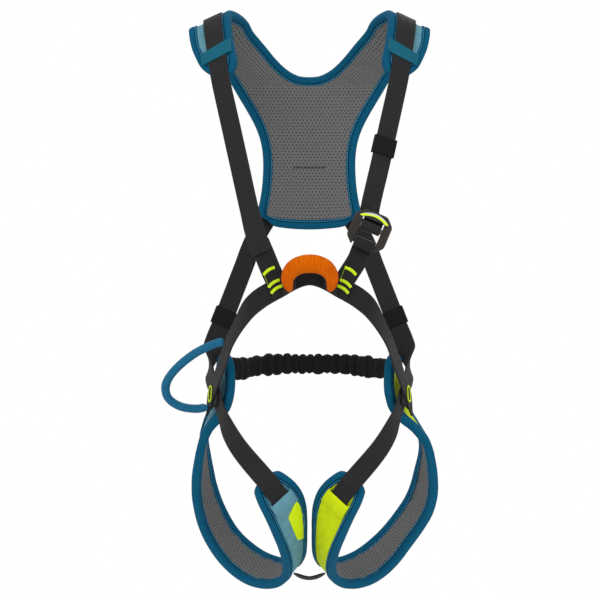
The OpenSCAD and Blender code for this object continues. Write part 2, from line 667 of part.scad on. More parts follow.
// Edge point i moved into the padding by the edge gap
function leg_inset(i) = let (d = tangent(leg_edge_points, i, true))
    leg_edge_points[i] - edge_gap * unit(cross(leg_edge_out[i], d));

// The outward flare of the right loop, between two heights and away from the legs' inner side
flare_top = -hip_drop - 14;
flare_end = -hip_drop - 167 * leg_h;
flare_in = 58;
function flare(p) = leg_flare * ease((flare_top - p[2]) / 45) * ease((p[2] - flare_end) / 60)
    * ease((-p[0] - flare_in) / 52);
function flared(rings, right) = right ? [for (r = rings) [for (p = r) p - [flare(p), 0, 0]]] : rings;

module leg_layer(low, high, right) {
    cells = len(leg_cells) - 1;
    count = len(leg_rows);
    total = len(leg_edge);
    rings = [for (i = [1:count - 2])
        let (t = leg_rows[i], a = leg_inset(i), b = leg_inset(total - i),
             w = edge_gap / leg_width(t) / leg_opened(t),
             p = [for (u = leg_cells) let (v = w + (1 - 2 * w) * u)
                 a + (b - a) * u + leg_normal(t) * leg_bulge(t) * (leg_arch(v) - leg_arch(w))],
             n = [for (u = leg_cells) leg_skin_out(t, 0.5 + (u - 0.5) * leg_opened(t))])
        concat([for (j = [cells:-1:0]) p[j] + low * n[j]], [for (j = [0:cells]) p[j] + high * n[j]])];
    loft(flared(rings, right));
}

module leg_lining(right) { color("#6b6b6b") both_sides(right) leg_layer(-leg_out, cloth_t - leg_out, right); }
module leg_foam(right) {
    color("#3c3c3e") both_sides(right) leg_layer(foam_h - leg_out, foam_h + foam_t - leg_out, right);
}
module leg_shell(right) {
    color(right ? "#c3d516" : "#6a9ba5") both_sides(right)
        leg_layer(shell_h - leg_out, pad_t - leg_out, right);
}
module leg_binding(right) {
    fold_play = 0.1;
    p = [for (i = [0:len(leg_edge) - 1]) leg_edge_points[i] - (leg_out + fold_play) * leg_edge_out[i]];
    section = repeat(fold_section(pad_t + 2 * fold_play), len(p));
    color("#1b6a96") both_sides(right) loft(flared(rings_along(p, leg_edge_out, section, true), right), true);
}

// The strap from the hip to the front of the leg loop, where it goes into a cloth pocket
on_pad = leg_fold + 2 * lay + web_t / 2;
module leg_strap(right) {
    on_rows = [for (k = [0, 0.6, 1.2, 1.7]) leg_last - k];
    way = concat([for (d = [[0, 0, 0], [6, -18, -17.5], [14.5, -34.5, -36], [27.5, -48.5, -55]]) hip(-1) + d],
        [for (t = on_rows) leg_at(t, 0.5, on_pad)]);
    turn = [68, 40, 22];
    hints = concat([hip_out], [for (a = turn) [-sin(a), -cos(a), 0]], [for (t = on_rows) leg_normal(t)]);
    color("#2b2b2b") both_sides(right) ribbon(smooth(way, 3), smooth(hints, 3));
}

module leg_pocket(right) {
    rows = [for (t = [leg_last - 1.35, leg_last - 1.7, leg_last - 2.05]) t];
    half = web_w / 2 + 3;
    leg = web_w / 2 + lay + 0.4;
    foot = leg_out + lay;
    inside = on_pad + web_t / 2 + 2 * lay;
    top = inside + cloth_t;
    section = [[half, foot], [half, top], [-half, top], [-half, foot],
               [-leg, foot], [-leg, inside], [leg, inside], [leg, foot]];
    rings = [for (t = rows) [for (q = section) leg_at(t, 0.5 + q[0] / leg_width(t), q[1])]];
    color(right ? "#c3d516" : "#6a9ba5") both_sides(right) loft(rings);
}

// The bare patch on the front of the left leg loop
module leg_patch_left() {
    low = leg_out + 2 * lay;
    shape = [[12.6, 0.62, 0.80], [12.2, 0.46, 0.84], [11.7, 0.44, 0.84], [11.2, 0.62, 0.82]];
    rings = [for (s = shape) concat(
        [for (u = [s[2], (s[1] + s[2]) / 2, s[1]]) leg_at(s[0], u, low)],
        [for (u = [s[1], (s[1] + s[2]) / 2, s[2]]) leg_at(s[0], u, low + cloth_t)])];
    color("#dcff10") loft(flip(rings));
}

module crotch_strap() {
    w = 10;
    end = leg_at(9.6, 0.5, leg_out + lay + web_t / 2);
    p = smooth(both_halves([[0, end[1], end[2] - 5], [end[0] / 2, end[1], end[2] - 3.5], end]), 4);
    n = smooth(both_halves([[0, -0.4, -1], [0, -0.4, -1], leg_normal(9.6)]), 4);
    color("#222224") ribbon(p, n, w, web_t);
}

// ---------- gathered elastic behind the waist ----------

elastic_end = [19.6 - hip_span / 2 - 2.6, hip_y + 15, 25];
elastic_half = [[0, hip_y + 87, 28], [-28, hip_y + 83, 28], [-50, hip_y + 67, 27], [-65, hip_y + 44, 25],
    elastic_end];
module waist_elastic_cover() {
    steps = 6;
    p = smooth(both_halves([for (q = elastic_half) q - [0, 0, hip_drop]]), steps);
    color("#171717") difference() {
        loft(rings_along(p, repeat([0, 0, 1], len(p)),
            [for (i = [0:len(p) - 1])
                let (k = 1 + 0.06 * sin(i * 137.5)) oval(elastic_t * k, elastic_h * k, 10)]));
        elastic_band(lay);
    }
}
module elastic_band(play) {
    p = smooth(both_halves([for (q = elastic_half) q - [0, 0, hip_drop]]), 4);
    section = flat(2 + 2 * play, elastic_h * 0.6 + 2 * play);
    loft(rings_along(p, repeat([0, 0, 1], len(p)), repeat(section, len(p))));
}
module waist_elastic_core() { color("#2e2e30") elastic_band(0); }

yoke_lining();
yoke_foam();
yoke_shell();
yoke_binding();
shoulder_strap_left();
shoulder_strap_right();
shoulder_retainer_left();
shoulder_retainer_right();
back_cross_tack();
chest_tab_left();
chest_tab_right();
chest_tacks_left();
chest_tacks_right();
buckle_frame();
buckle_slider();
buckle_accent();
keeper_front();
keeper_rear_left();
keeper_rear_right();
tie_in_core();
tie_in_sleeve();
waist_strap();
hip_tack_left();
hip_tack_right();
gear_loop_sleeve();
gear_loop_core();
waist_elastic_cover();
waist_elastic_core();
leg_lining(false);  // leg_lining_left
leg_lining(true);  // leg_lining_right
leg_foam(false);  // leg_foam_left
leg_foam(true);  // leg_foam_right
leg_shell(false);  // leg_shell_left
leg_shell(true);  // leg_shell_right
leg_binding(false);  // leg_binding_left
leg_binding(true);  // leg_binding_right
leg_strap(false);  // leg_strap_left
leg_strap(true);  // leg_strap_right
leg_pocket(false);  // leg_pocket_left
leg_pocket(true);  // leg_pocket_right
leg_patch_left();
crotch_strap();
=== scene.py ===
"""Looks of a child's full-body climbing harness, modelled over its CAD frame.

Lengths in the mesh code are metres, in the frame of the CAD part: +X to the viewer's right, +Y from
the chest to the back, +Z up. "Left" is the viewer's left.
"""

import json
import math

import bmesh
import bpy
import numpy as np
from bpy.props import FloatProperty, IntProperty, PointerProperty
from mathutils import Matrix, Vector
from mathutils.bvhtree import BVHTree
from mathutils.geometry import barycentric_transform

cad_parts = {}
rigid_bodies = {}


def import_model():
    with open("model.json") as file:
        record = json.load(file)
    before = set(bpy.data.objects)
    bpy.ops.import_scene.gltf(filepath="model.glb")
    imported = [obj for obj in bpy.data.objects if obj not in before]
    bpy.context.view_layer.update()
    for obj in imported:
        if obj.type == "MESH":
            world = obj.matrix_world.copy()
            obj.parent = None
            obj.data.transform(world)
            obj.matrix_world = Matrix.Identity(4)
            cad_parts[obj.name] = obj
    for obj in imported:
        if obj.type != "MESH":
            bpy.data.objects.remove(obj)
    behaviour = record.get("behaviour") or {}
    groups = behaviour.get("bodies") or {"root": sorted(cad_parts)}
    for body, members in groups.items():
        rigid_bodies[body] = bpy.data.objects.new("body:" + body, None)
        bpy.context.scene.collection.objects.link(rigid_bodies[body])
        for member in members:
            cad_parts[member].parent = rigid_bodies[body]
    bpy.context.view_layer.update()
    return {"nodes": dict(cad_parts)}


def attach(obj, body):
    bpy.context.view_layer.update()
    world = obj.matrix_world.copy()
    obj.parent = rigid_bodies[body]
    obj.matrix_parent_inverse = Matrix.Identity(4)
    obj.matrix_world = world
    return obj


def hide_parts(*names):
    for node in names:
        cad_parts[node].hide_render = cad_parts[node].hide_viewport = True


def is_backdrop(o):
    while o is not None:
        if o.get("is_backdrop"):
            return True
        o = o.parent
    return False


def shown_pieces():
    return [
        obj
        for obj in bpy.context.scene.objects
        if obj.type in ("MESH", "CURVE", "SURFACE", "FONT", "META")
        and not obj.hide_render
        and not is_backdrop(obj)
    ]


bl_info = {
    "name": "Climbing harness looks",
    "version": (1, 0, 0),
    "blender": (4, 5, 0),
    "location": "View3D > Sidebar > Harness",
    "description": "Models the cloth, webbing and buckle of a climbing harness over its CAD frame",
    "category": "Object",
}

for leftover in list(bpy.data.objects):
    bpy.data.objects.remove(leftover)
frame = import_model()

MM = 0.001
SIDES = ("left", "right")

PAD_THICKNESS = 6.2  # of lining, foam and outer cloth together, in mm
SHARP = math.radians(50)  # edges bent more than this are corners of the CAD's strips

# A place near the end that each swept strap is read from, in metres
STARTS = {
    "shoulder_strap_left": (-0.06, 0, 0.0),
    "shoulder_strap_right": (-0.1, 0.07, -0.13),
    "waist_strap": (-0.1, 0.07, -0.13),
    "chest_tab_left": (-0.03, 0, -0.02),
    "chest_tab_right": (0.03, 0, -0.02),
    "leg_strap_left": (-0.09, 0.07, -0.11),
    "leg_strap_right": (0.09, 0.07, -0.11),
    "crotch_strap": (-0.017, 0.11, -0.30),
    "waist_elastic_core": (-0.08, 0.08, -0.09),
    "gear_loop_core": (-0.088, 0.05, -0.06),
}

# ---------- the picture ----------

PICTURE = (600, 600)

# Named points of the photo, in its pixels from the top left corner
POINTS = {
    "left_end": (161, 385),
    "right_end": (438, 480),
    "top_end": (234, 9),
    "bottom_end": (262, 591),
    "slit_left": (293, 167),
    "slit_right": (327, 167),
    "seam_left_low": (258, 258),
    "seam_left_high": (271, 250),
    "seam_right_low": (362, 250),
    "seam_right_high": (351, 243),
    "buckle_frame": (370, 233),
    "tie_in_sleeve": (310, 273),
    "gear_loop_sleeve": (192, 374),
    "hip_tack_left": (213, 393),
    "hip_tack_right": (408, 394),
    "waist_elastic_cover": (308, 366),
    "leg_patch_left": (297, 520),
    "keeper_front": (384, 145),
    "keeper_rear_right": (391, 318),
    "crotch_strap": (310, 573),
}

# Vertices within this many pixels of the outermost one belong to the same end
END_BAND = 1.5

# The camera stands straight before the harness, level with the tie-in loop
CAMERA_AT = Vector((-0.0095, -2.53, -0.024))
CAMERA_TURN = (math.radians(90), 0, 0)
LENS = 156
SENSOR = 36
SHIFT = (0, 0)

# Where a ray that misses is compared with a surface: so far from the camera, and on in so many steps
NEAREST, STEP, STEPS = 2.4, 0.01, 40


def camera_axes():
    """The camera's right, up and backward ways as the columns of a matrix."""
    return Matrix.Rotation(CAMERA_TURN[0], 3, "X")


def ray_through(x, y):
    """Direction, in the CAD frame, of the ray through a point of the picture."""
    width, height = PICTURE
    long_side = max(PICTURE)
    right = x - width / 2 + SHIFT[0] * long_side
    up = height / 2 - y + SHIFT[1] * long_side
    return (camera_axes() @ Vector((right, up, -long_side * LENS / SENSOR))).normalized()


def struck(tree, ray):
    """The place and facing where a ray from the camera meets a surface, or the place nearest the ray."""
    place, facing, _, _ = tree.ray_cast(CAMERA_AT, ray)
    if place is None:
        tries = (tree.find_nearest(CAMERA_AT + ray * (NEAREST + STEP * i)) for i in range(STEPS))
        place, facing, _, _ = min(tries, key=lambda hit: hit[3])
    return place, facing if facing.dot(ray) < 0 else -facing


def seen_at(tree, x, y):
    """The place and facing of a surface at a picture point."""
    return struck(tree, ray_through(x, y))


def in_picture(points):
    """Picture x and y of points given as rows."""
    width, height = PICTURE
    long_side = max(PICTURE)
    local = (np.asarray(points) - np.array(CAMERA_AT)) @ np.array(camera_axes())
    scale = long_side * LENS / SENSOR / -local[:, 2]
    x = width / 2 + local[:, 0] * scale - SHIFT[0] * long_side
    y = height / 2 - local[:, 1] * scale + SHIFT[1] * long_side
    return np.stack([x, y], 1)


# ---------- settings shown in the panel ----------


def millimetres(name, description, default):
    """A property that holds a length; the default is in millimetres."""
    kind = {"unit": "LENGTH", "subtype": "DISTANCE"}
    return FloatProperty(name=name, description=description, default=default * MM, **kind)


class WebbingSettings(bpy.types.PropertyGroup):
    """Sizes of the straps' weave and seams"""

    rib: millimetres("Rib pitch", "Distance between the crosswise ribs of the load-bearing webbing", 2.5)
    yarn: millimetres("Yarn pitch", "Distance between neighbouring yarns of the weave", 1.1)
    edge: millimetres("Edge rounding", "Radius of the rounded long edges of straps", 0.45)
    stitch: millimetres("Stitch pitch", "Distance from one stitch to the next", 2.9)


class PaddingSettings(bpy.types.PropertyGroup):
    """Sizes of the padded pieces and their binding"""

    grain: millimetres("Cloth grid", "Cell size of the mesh that is filled out by the cloth simulation", 2.6)
    rise: millimetres("Largest rise", "How far the padding may swell beyond its cut shape", 2.6)
    hole: millimetres("Perforation pitch", "Distance between neighbouring holes of the mesh lining", 3.7)
    fold: millimetres("Binding width", "Width of the folded edge binding on each face of the padding", 7.2)


class SoftSettings(bpy.types.PropertyGroup):
    """Sizes of the gathered pieces"""

    ruffles: IntProperty(
        name="Ruffles", description="Number of gathers along the elastic behind the waist", default=25
    )
    ruffle: millimetres("Ruffle depth", "Depth of the creases between the gathers", 2.8)
    pleat: millimetres("Pleat pitch", "Distance between the fine pleats of the orange sleeve", 1.6)


# ---------- mesh helpers ----------


def pick(*objects):
    """Leaves only these objects selected, the first one active."""
    for obj in list(bpy.context.selected_objects):
        obj.select_set(False)
    for obj in objects:
        obj.select_set(True)
    bpy.context.view_layer.objects.active = objects[0]


def coordinates(obj):
    """An object's vertices as rows of a table."""
    co = np.empty(len(obj.data.vertices) * 3)
    obj.data.vertices.foreach_get("co", co)
    return co.reshape(-1, 3)


def place_vertices(obj, points):
    """Moves an object's vertices to the given points."""
    obj.data.vertices.foreach_set("co", np.asarray(points, float).ravel())
    obj.data.update()


def unit(rows):
    """Rows brought to length 1."""
    rows = np.asarray(rows, float)
    return rows / np.maximum(np.linalg.norm(rows, axis=-1, keepdims=True), 1e-12)


def apply(obj, kind, **settings):
    """Adds a modifier and applies it."""
    pick(obj)
    modifier = obj.modifiers.new(kind.title(), kind)
    for name, value in settings.items():
        setattr(modifier, name, value)
    bpy.ops.object.modifier_apply(modifier=modifier.name)


def in_edit_mode(obj, *steps):
    """Runs steps on the whole mesh in edit mode."""
    pick(obj)
    bpy.ops.object.mode_set(mode="EDIT")
    bpy.ops.mesh.select_all(action="SELECT")
    for step in steps:
        step()
    bpy.ops.object.mode_set(mode="OBJECT")


def face_outward():
    bpy.ops.mesh.normals_make_consistent(inside=False)


def merge_doubles():
    bpy.ops.mesh.remove_doubles(threshold=0.005 * MM)


def merge_flat_faces():
    bpy.ops.mesh.dissolve_limited(angle_limit=math.radians(0.6))


def copy_of(node, name):
    """A merged copy of a CAD node, with its own mesh."""
    obj = bpy.data.objects.new(name, frame["nodes"][node].data.copy())
    bpy.context.scene.collection.objects.link(obj)
    obj.data.materials.clear()
    pick(obj)
    if obj.data.has_custom_normals:
        bpy.ops.mesh.customdata_custom_splitnormals_clear()
    in_edit_mode(obj, merge_doubles, face_outward)
    return obj


def connected_parts(mesh):
    """The vertices of a bmesh, grouped by the part they belong to."""
    unseen, parts = set(mesh.verts), []
    for v in mesh.verts:
        if v not in unseen:
            continue
        unseen.discard(v)
        part, search = [], [v]
        while search:
            v = search.pop()
            part.append(v)
            for edge in v.link_edges:
                other = edge.other_vert(v)
                if other in unseen:
                    unseen.discard(other)
                    search.append(other)
        parts.append(part)
    return parts


def surface_of(*names):
    """Search tree over the surfaces of some CAD nodes or finished pieces."""
    points, faces = [], []
    for name in names:
        mesh = (frame["nodes"].get(name) or bpy.data.objects[name]).data
        start = len(points)
        points += [v.co.copy() for v in mesh.vertices]
        faces += [[start + i for i in face.vertices] for face in mesh.polygons]
    return BVHTree.FromPolygons(points, faces)


def distances(tree, points):
    """How far each point is from a surface."""
    return np.array([tree.find_nearest(Vector(p))[3] for p in points])


def smooth_rows(rows, steps, closed=False):
    """Rows on a smooth curve through the given rows, with so many steps from one to the next."""
    rows = np.asarray(rows, float)
    count = len(rows)
    at = np.arange(count if closed else count - 1)

    def shifted(k):
        return rows[(at + k) % count] if closed else rows[np.clip(at + k, 0, count - 1)]

    a, b, c, d = shifted(-1), shifted(0), shifted(1), shifted(2)
    square, cube = 2 * a - 5 * b + 4 * c - d, 3 * b - a - 3 * c + d
    made = [0.5 * (2 * b + (c - a) * t + square * t * t + cube * t**3) for t in np.arange(steps) / steps]
    made = np.stack(made, 1).reshape((-1,) + rows.shape[1:])
    return made if closed else np.concatenate([made, rows[-1:]])


def length_along(points):
    """The length of a line of points up to each of them."""
    return np.concatenate([[0], np.cumsum(np.linalg.norm(np.diff(points, axis=0), axis=1))])


def grid_uv(across, along):
    """A UV pair for each point of a grid, from its lengths across and along."""
    return np.stack(np.broadcast_arrays(across, along[:, None]), -1)


def sheet(name, rows, uv):
    """A grid whose vertices stand at rows[i][j], with its UV map in metres."""
    count, across = rows.shape[:2]
    bpy.ops.mesh.primitive_grid_add(x_subdivisions=across - 1, y_subdivisions=count - 1, size=1)
    obj = bpy.context.object
    obj.name = obj.data.name = name
    place_vertices(obj, rows.reshape(-1, 3))
    set_uv(obj, uv.reshape(-1, 2))
    return obj


def thicken(obj, thickness):
    """Gives a sheet its thickness, half to each side."""
    apply(obj, "SOLIDIFY", thickness=thickness, offset=0)
    in_edit_mode(obj, face_outward)


def close_ends(obj):
    """Fills the open ends of a tube and turns its faces outward."""
    pick(obj)
    bpy.ops.object.mode_set(mode="EDIT")
    bpy.ops.mesh.select_all(action="DESELECT")
    bpy.ops.mesh.select_non_manifold()
    bpy.ops.mesh.edge_face_add()
    bpy.ops.mesh.select_all(action="SELECT")
    face_outward()
    bpy.ops.object.mode_set(mode="OBJECT")


def tube(name, rows, uv):
    """A closed tube through rows of points, its two ends filled."""
    obj = sheet(name, rows, uv)
    in_edit_mode(obj, merge_doubles)
    close_ends(obj)
    return obj


def set_uv(obj, uv):
    """Writes one UV pair per vertex."""
    mesh = obj.data
    layer = mesh.uv_layers[0] if mesh.uv_layers else mesh.uv_layers.new(name="UVMap")
    corner = np.empty(len(mesh.loops), int)
    mesh.loops.foreach_get("vertex_index", corner)
    layer.data.foreach_set("uv", uv[corner].ravel())


def merged_mesh(node):
    """The node's mesh in a bmesh, with the vertices of neighbouring faces merged."""
    made = bmesh.new()
    made.from_mesh(frame["nodes"][node].data)
    bmesh.ops.remove_doubles(made, verts=made.verts, dist=0.001 * MM)
    made.verts.index_update()
    made.faces.index_update()
    return made


def in_order(elements):
    """Mesh elements by index, so that every run walks a mesh the same way."""
    return sorted(elements, key=lambda element: element.index)


def strap_sections(node, sides=4):
    """Cross-sections of a swept node, in order from the end nearest its start."""
    mesh = merged_mesh(node)
    start = Vector(STARTS[node])
    unseen = set(mesh.faces)
    caps = []
    for face in mesh.faces:
        if face not in unseen:
            continue
        unseen.discard(face)
        group, search = set(), [face]
        while search:
            face = search.pop()
            group.add(face)
            for edge in face.edges:
                if len(edge.link_faces) == 2 and edge.calc_face_angle() < SHARP:
                    for other in edge.link_faces:
                        if other in unseen:
                            unseen.discard(other)
                            search.append(other)
        corners = {v for face in group for v in face.verts}
        if len(group) == sides - 2 and len(corners) == sides:
            middle = sum((v.co for v in corners), Vector()) / sides
            caps.append(((middle - start).length, corners))
    _, corners = min(caps, key=lambda cap: cap[0])
    ring = in_order(corners)
    seen, rings = set(ring), [ring]
    while True:
        following = {e.other_vert(v) for v in ring for e in v.link_edges} - seen
        if len(following) != sides:
            break
        ring = in_order(following)
        seen |= following
        rings.append(ring)
    made = np.array([[list(v.co) for v in ring] for ring in rings])
    mesh.free()
    return made


def strap_frames(node):
    """Middle, width direction, facing and width of a strap's cross-sections."""
    rings = strap_sections(node)
    middle = rings.mean(1)
    sides, facings, widths = [], [], []
    for ring in rings - middle[:, None]:
        _, _, ways = np.linalg.svd(ring)
        side, facing = ways[0], ways[1]
        if sides and side @ sides[-1] < 0:
            side = -side
        if facings and facing @ facings[-1] < 0:
            facing = -facing
        sides.append(side)
        facings.append(facing)
        widths.append(np.ptp(ring @ side))
    return middle, np.array(sides), np.array(facings), np.array(widths)


def ribbon(name, frames, thickness=1.7 * MM, steps=3, across=8, trim=None):
    """A strap through the frames, with rounded edges; u runs across it from its middle and v along it.

    trim may move the grid's points before the strap gets its thickness.
    """
    middle, side, facing, width = frames
    middle, side, facing = (smooth_rows(rows, steps) for rows in (middle, unit(side), unit(facing)))
    width = smooth_rows(width[:, None], steps)[:, 0]
    side, facing = unit(side), unit(facing)
    share = np.linspace(-0.5, 0.5, across + 1)
    off = share * width[:, None]
    rows = middle[:, None] + side[:, None] * off[..., None]
    if trim:
        rows = trim(rows)
    obj = sheet(name, rows, grid_uv(off, length_along(middle)))
    thicken(obj, thickness)
    edge = min(bpy.context.scene.harness_webbing.edge, thickness * 0.32)
    apply(obj, "BEVEL", width=edge, segments=2, limit_method="ANGLE", angle_limit=0.9)
    return obj


def stitches(name, places, length, radius):
    """Short rounded threads. Each place is a point, the thread's way and the facing of what it lies on."""
    bpy.ops.mesh.primitive_uv_sphere_add(segments=6, ring_count=4, radius=1)
    thread = bpy.context.object
    shape = coordinates(thread) * [radius, radius * 0.8, length / 2]
    faces = [list(face.vertices) for face in thread.data.polygons]
    bpy.data.objects.remove(thread)
    points, all_faces = [], []
    for place, along, up in places:
        along, up = unit(along), unit(up)
        axes = np.stack([np.cross(up, along), up, along])
        start = len(points) * len(shape)
        points.append(shape @ axes + np.asarray(place))
        all_faces += [[start + i for i in face] for face in faces]
    mesh = bpy.data.meshes.new(name)
    mesh.from_pydata(np.concatenate(points).tolist(), [], all_faces)
    obj = bpy.data.objects.new(name, mesh)
    bpy.context.scene.collection.objects.link(obj)
    return obj


def stitch_places(points, facings, pitch, lift, gap=0.0):
    """Evenly spaced stitch places along a line that lies on a surface."""
    points, facings = np.asarray(points, float), np.asarray(facings, float)
    along = length_along(points)
    made = []
    for at in np.arange(pitch / 2 + gap, along[-1] - gap, pitch):
        i = min(np.searchsorted(along, at), len(along) - 1)
        share = (at - along[i - 1]) / max(along[i] - along[i - 1], 1e-9)
        facing = facings[i - 1] * (1 - share) + facings[i] * share
        place = points[i - 1] * (1 - share) + points[i] * share
        made.append((place + unit(facing) * lift, points[i] - points[i - 1], facing))
    return made


def finish(obj, material, body, replaced=(), smooth=40):
    """Gives a finished piece its material and shading, and lets it ride on its CAD body."""
    if material:
        obj.data.materials.append(material)
    pick(obj)
    bpy.ops.object.shade_smooth_by_angle(angle=math.radians(smooth))
    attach(obj, body)
    if replaced:
        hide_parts(*replaced)
    return obj


# ---------- materials ----------


def linear(code):
    """Linear colour of an sRGB hex code."""
    parts = [int(code[i : i + 2], 16) / 255 for i in (1, 3, 5)]
    return tuple(((c + 0.055) / 1.055) ** 2.4 if c > 0.04045 else c / 12.92 for c in parts) + (1.0,)


def add(tree, kind, settings=None, links=None):
    """Adds a node. Settings name its own properties or its inputs' values; links feed its inputs."""
    node = tree.nodes.new(kind)
    for name, value in (settings or {}).items():
        if isinstance(name, str) and hasattr(node, name):
            setattr(node, name, value)
        else:
            node.inputs[name].default_value = value
    for name, source in (links or {}).items():
        tree.links.new(source, node.inputs[name])
    return node


def new_material(name, **shader_settings):
    """A material with its Principled shader, ready for colour and height."""
    material = bpy.data.materials.new(name)
    material.use_nodes = True
    tree = material.node_tree
    tree.nodes.clear()
    shader = add(tree, "ShaderNodeBsdfPrincipled", shader_settings)
    add(tree, "ShaderNodeOutputMaterial", links={"Surface": shader.outputs[0]})
    return material, tree, shader


def uv_parts(tree):
    """The UV map in millimetres: across and along."""
    uv = add(tree, "ShaderNodeUVMap")
    scaled = add(tree, "ShaderNodeVectorMath", {"operation": "SCALE", "Scale": 1000.0}, {0: uv.outputs[0]})
    parts = add(tree, "ShaderNodeSeparateXYZ", links={0: scaled.outputs[0]})
    return scaled.outputs[0], parts.outputs[0], parts.outputs[1]


def wave(tree, source, pitch, shift=None):
    """A wave from 0 to 1 with the given pitch, in the source's unit."""
    turned = mixed(tree, "MULTIPLY", source, 2 * math.pi / pitch)
    if shift is not None:
        turned = mixed(tree, "ADD", turned, shift)
    return mixed(tree, "MULTIPLY_ADD", mixed(tree, "SINE", turned), 0.5, 0.5)


def mixed(tree, operation, *values):
    """Heights or shares taken together by one operation, each a number or a node's output."""
    node = add(tree, "ShaderNodeMath", {"operation": operation})
    for i, value in enumerate(values):
        if isinstance(value, (int, float)):
            node.inputs[i].default_value = value
        else:
            tree.links.new(value, node.inputs[i])
    return node.outputs[0]


def weighted(tree, first, first_weight, second, second_weight):
    """The sum of two heights or shares, each with its weight."""
    parts = mixed(tree, "MULTIPLY", first, first_weight), mixed(tree, "MULTIPLY", second, second_weight)
    return mixed(tree, "ADD", *parts)


def crossed(tree, across, along, pitch):
    """Yarns that cross each other on the slant."""
    ways = mixed(tree, "ADD", across, along), mixed(tree, "SUBTRACT", across, along)
    return mixed(tree, "MULTIPLY", *(wave(tree, way, pitch) for way in ways))


def stretched(tree, source, *scale):
    """A place scaled by a factor for each way."""
    return add(tree, "ShaderNodeVectorMath", {"operation": "MULTIPLY", 1: scale}, {0: source}).outputs[0]


def ramp(tree, source, low, high):
    """0 below low and 1 above high, with a soft step between."""
    settings = {"interpolation_type": "SMOOTHSTEP", "From Min": low, "From Max": high}
    return add(tree, "ShaderNodeMapRange", settings, {"Value": source}).outputs["Result"]


def two_colours(tree, share, low, high):
    """One colour where share is 0 and the other where it is 1, each a hex code or a node's output."""
    node = add(tree, "ShaderNodeMix", {"data_type": "RGBA"}, {0: share})
    for number, colour in ((6, low), (7, high)):
        if isinstance(colour, str):
            node.inputs[number].default_value = linear(colour)
        else:
            tree.links.new(colour, node.inputs[number])
    return node.outputs[2]


def surface(tree, shader, colour, height, depth):
    """Feeds the shader its colour and a relief of the given depth in millimetres."""
    tree.links.new(colour, shader.inputs["Base Color"])
    bump = add(tree, "ShaderNodeBump", {"Strength": 1.0, "Distance": depth * MM}, {"Height": height})
    tree.links.new(bump.outputs[0], shader.inputs["Normal"])


def speckle(tree, source, scale, detail=2.0):
    """Soft noise from 0 to 1, of so many lumps in the source's unit."""
    return add(tree, "ShaderNodeTexNoise", {"Scale": scale, "Detail": detail}, {"Vector": source}).outputs[0]


def own_place(tree):
    """The place on a piece, in metres."""
    return add(tree, "ShaderNodeTexCoord").outputs["Object"]


def textile(name, roughness, ior=1.5, gloss=0.12, sheen=0.03, sheen_roughness=0.5):
    """A cloth's material and shader, with its UV map in millimetres: whole, across and along."""
    shader_settings = {
        "Roughness": roughness,
        "IOR": ior,
        "Specular IOR Level": gloss,
        "Sheen Weight": sheen,
        "Sheen Roughness": sheen_roughness,
    }
    material, tree, shader = new_material(name, **shader_settings)
    return material, tree, shader, *uv_parts(tree)


def webbing(name, dark, light, rib, rib_depth, selvedge=9.1):
    """Nylon webbing. Crosswise ribs, yarns between them, and a smooth selvedge along both edges; the colour
    follows the relief, with painted shade in the valleys between ribs and yarns.
    """
    yarn = bpy.context.scene.harness_webbing.yarn / MM
    material, tree, shader, uv, across, along = textile(name, 0.62, 1.53)
    ribs = mixed(tree, "POWER", wave(tree, along, rib), 0.6)
    yarns = crossed(tree, across, along, yarn)
    edge = ramp(tree, mixed(tree, "ABSOLUTE", across), selvedge - 0.5, selvedge)
    body = weighted(tree, ribs, rib_depth, yarns, 0.35)
    inner = mixed(tree, "MULTIPLY", body, mixed(tree, "SUBTRACT", 1.0, edge))
    height = mixed(tree, "ADD", inner, mixed(tree, "MULTIPLY", edge, 0.7))
    wear = speckle(tree, uv, 0.22)
    # Painted shade: the colour darkens with the relief height, the lowest places darkest, over a random tone.
    share = weighted(tree, height, 0.75, wear, 0.3)
    surface(tree, shader, two_colours(tree, share, dark, light), height, 0.28)
    return material


def mesh_lining(name):
    """Perforated spacer mesh: grey knit with small round holes in staggered rows, each with a soft rim. The
    holes are painted near black as the shade inside them, and the knit is painted darker between its loops.
    """
    pitch = bpy.context.scene.harness_padding.hole / MM
    material, tree, shader, uv, across, along = textile(name, 0.8)
    row = 0.5 * math.sqrt(3) * pitch
    far = None
    for shift in (0.0, 0.5):
        a = mixed(tree, "PINGPONG", mixed(tree, "ADD", across, 400 + shift * pitch), pitch / 2)
        b = mixed(tree, "PINGPONG", mixed(tree, "ADD", along, 400 + shift * 2 * row), row)
        squares = mixed(tree, "POWER", a, 2.0), mixed(tree, "POWER", b, 2.0)
        reach = mixed(tree, "SQRT", mixed(tree, "ADD", *squares))
        far = reach if far is None else mixed(tree, "MINIMUM", far, reach)
    open_share = ramp(tree, far, 0.36, 0.78)
    knit = mixed(tree, "MULTIPLY", wave(tree, across, 1.3), wave(tree, along, 1.15))
    height = weighted(tree, open_share, 1.0, knit, 0.22)
    tone = speckle(tree, uv, 0.5)
    # Painted shade between the knit's loops, mixed with a random tone.
    shade = weighted(tree, knit, 0.45, tone, 0.5)
    cloth = two_colours(tree, shade, "#606060", "#828282")
    # The holes are painted near black: painted shade inside them.
    surface(tree, shader, two_colours(tree, open_share, "#222224", cloth), height, 0.55)
    return material


def plain_cloth(name, dark, light, roughness=0.7):
    """Light plain-weave polyester: fine warp and weft, and a slightly uneven tone; the colour follows the
    weave, with painted shade between the yarns.
    """
    material, tree, shader, uv, across, along = textile(name, roughness, sheen_roughness=0.4)
    weave = mixed(tree, "MULTIPLY", wave(tree, across, 1.2), wave(tree, along, 1.2))
    tone = speckle(tree, uv, 0.12, 3.0)
    # Painted shade between the yarns: the weave's relief darkens the colour, mixed with a random tone.
    share = weighted(tree, weave, 0.4, tone, 0.6)
    surface(tree, shader, two_colours(tree, share, dark, light), weave, 0.12)
    return material


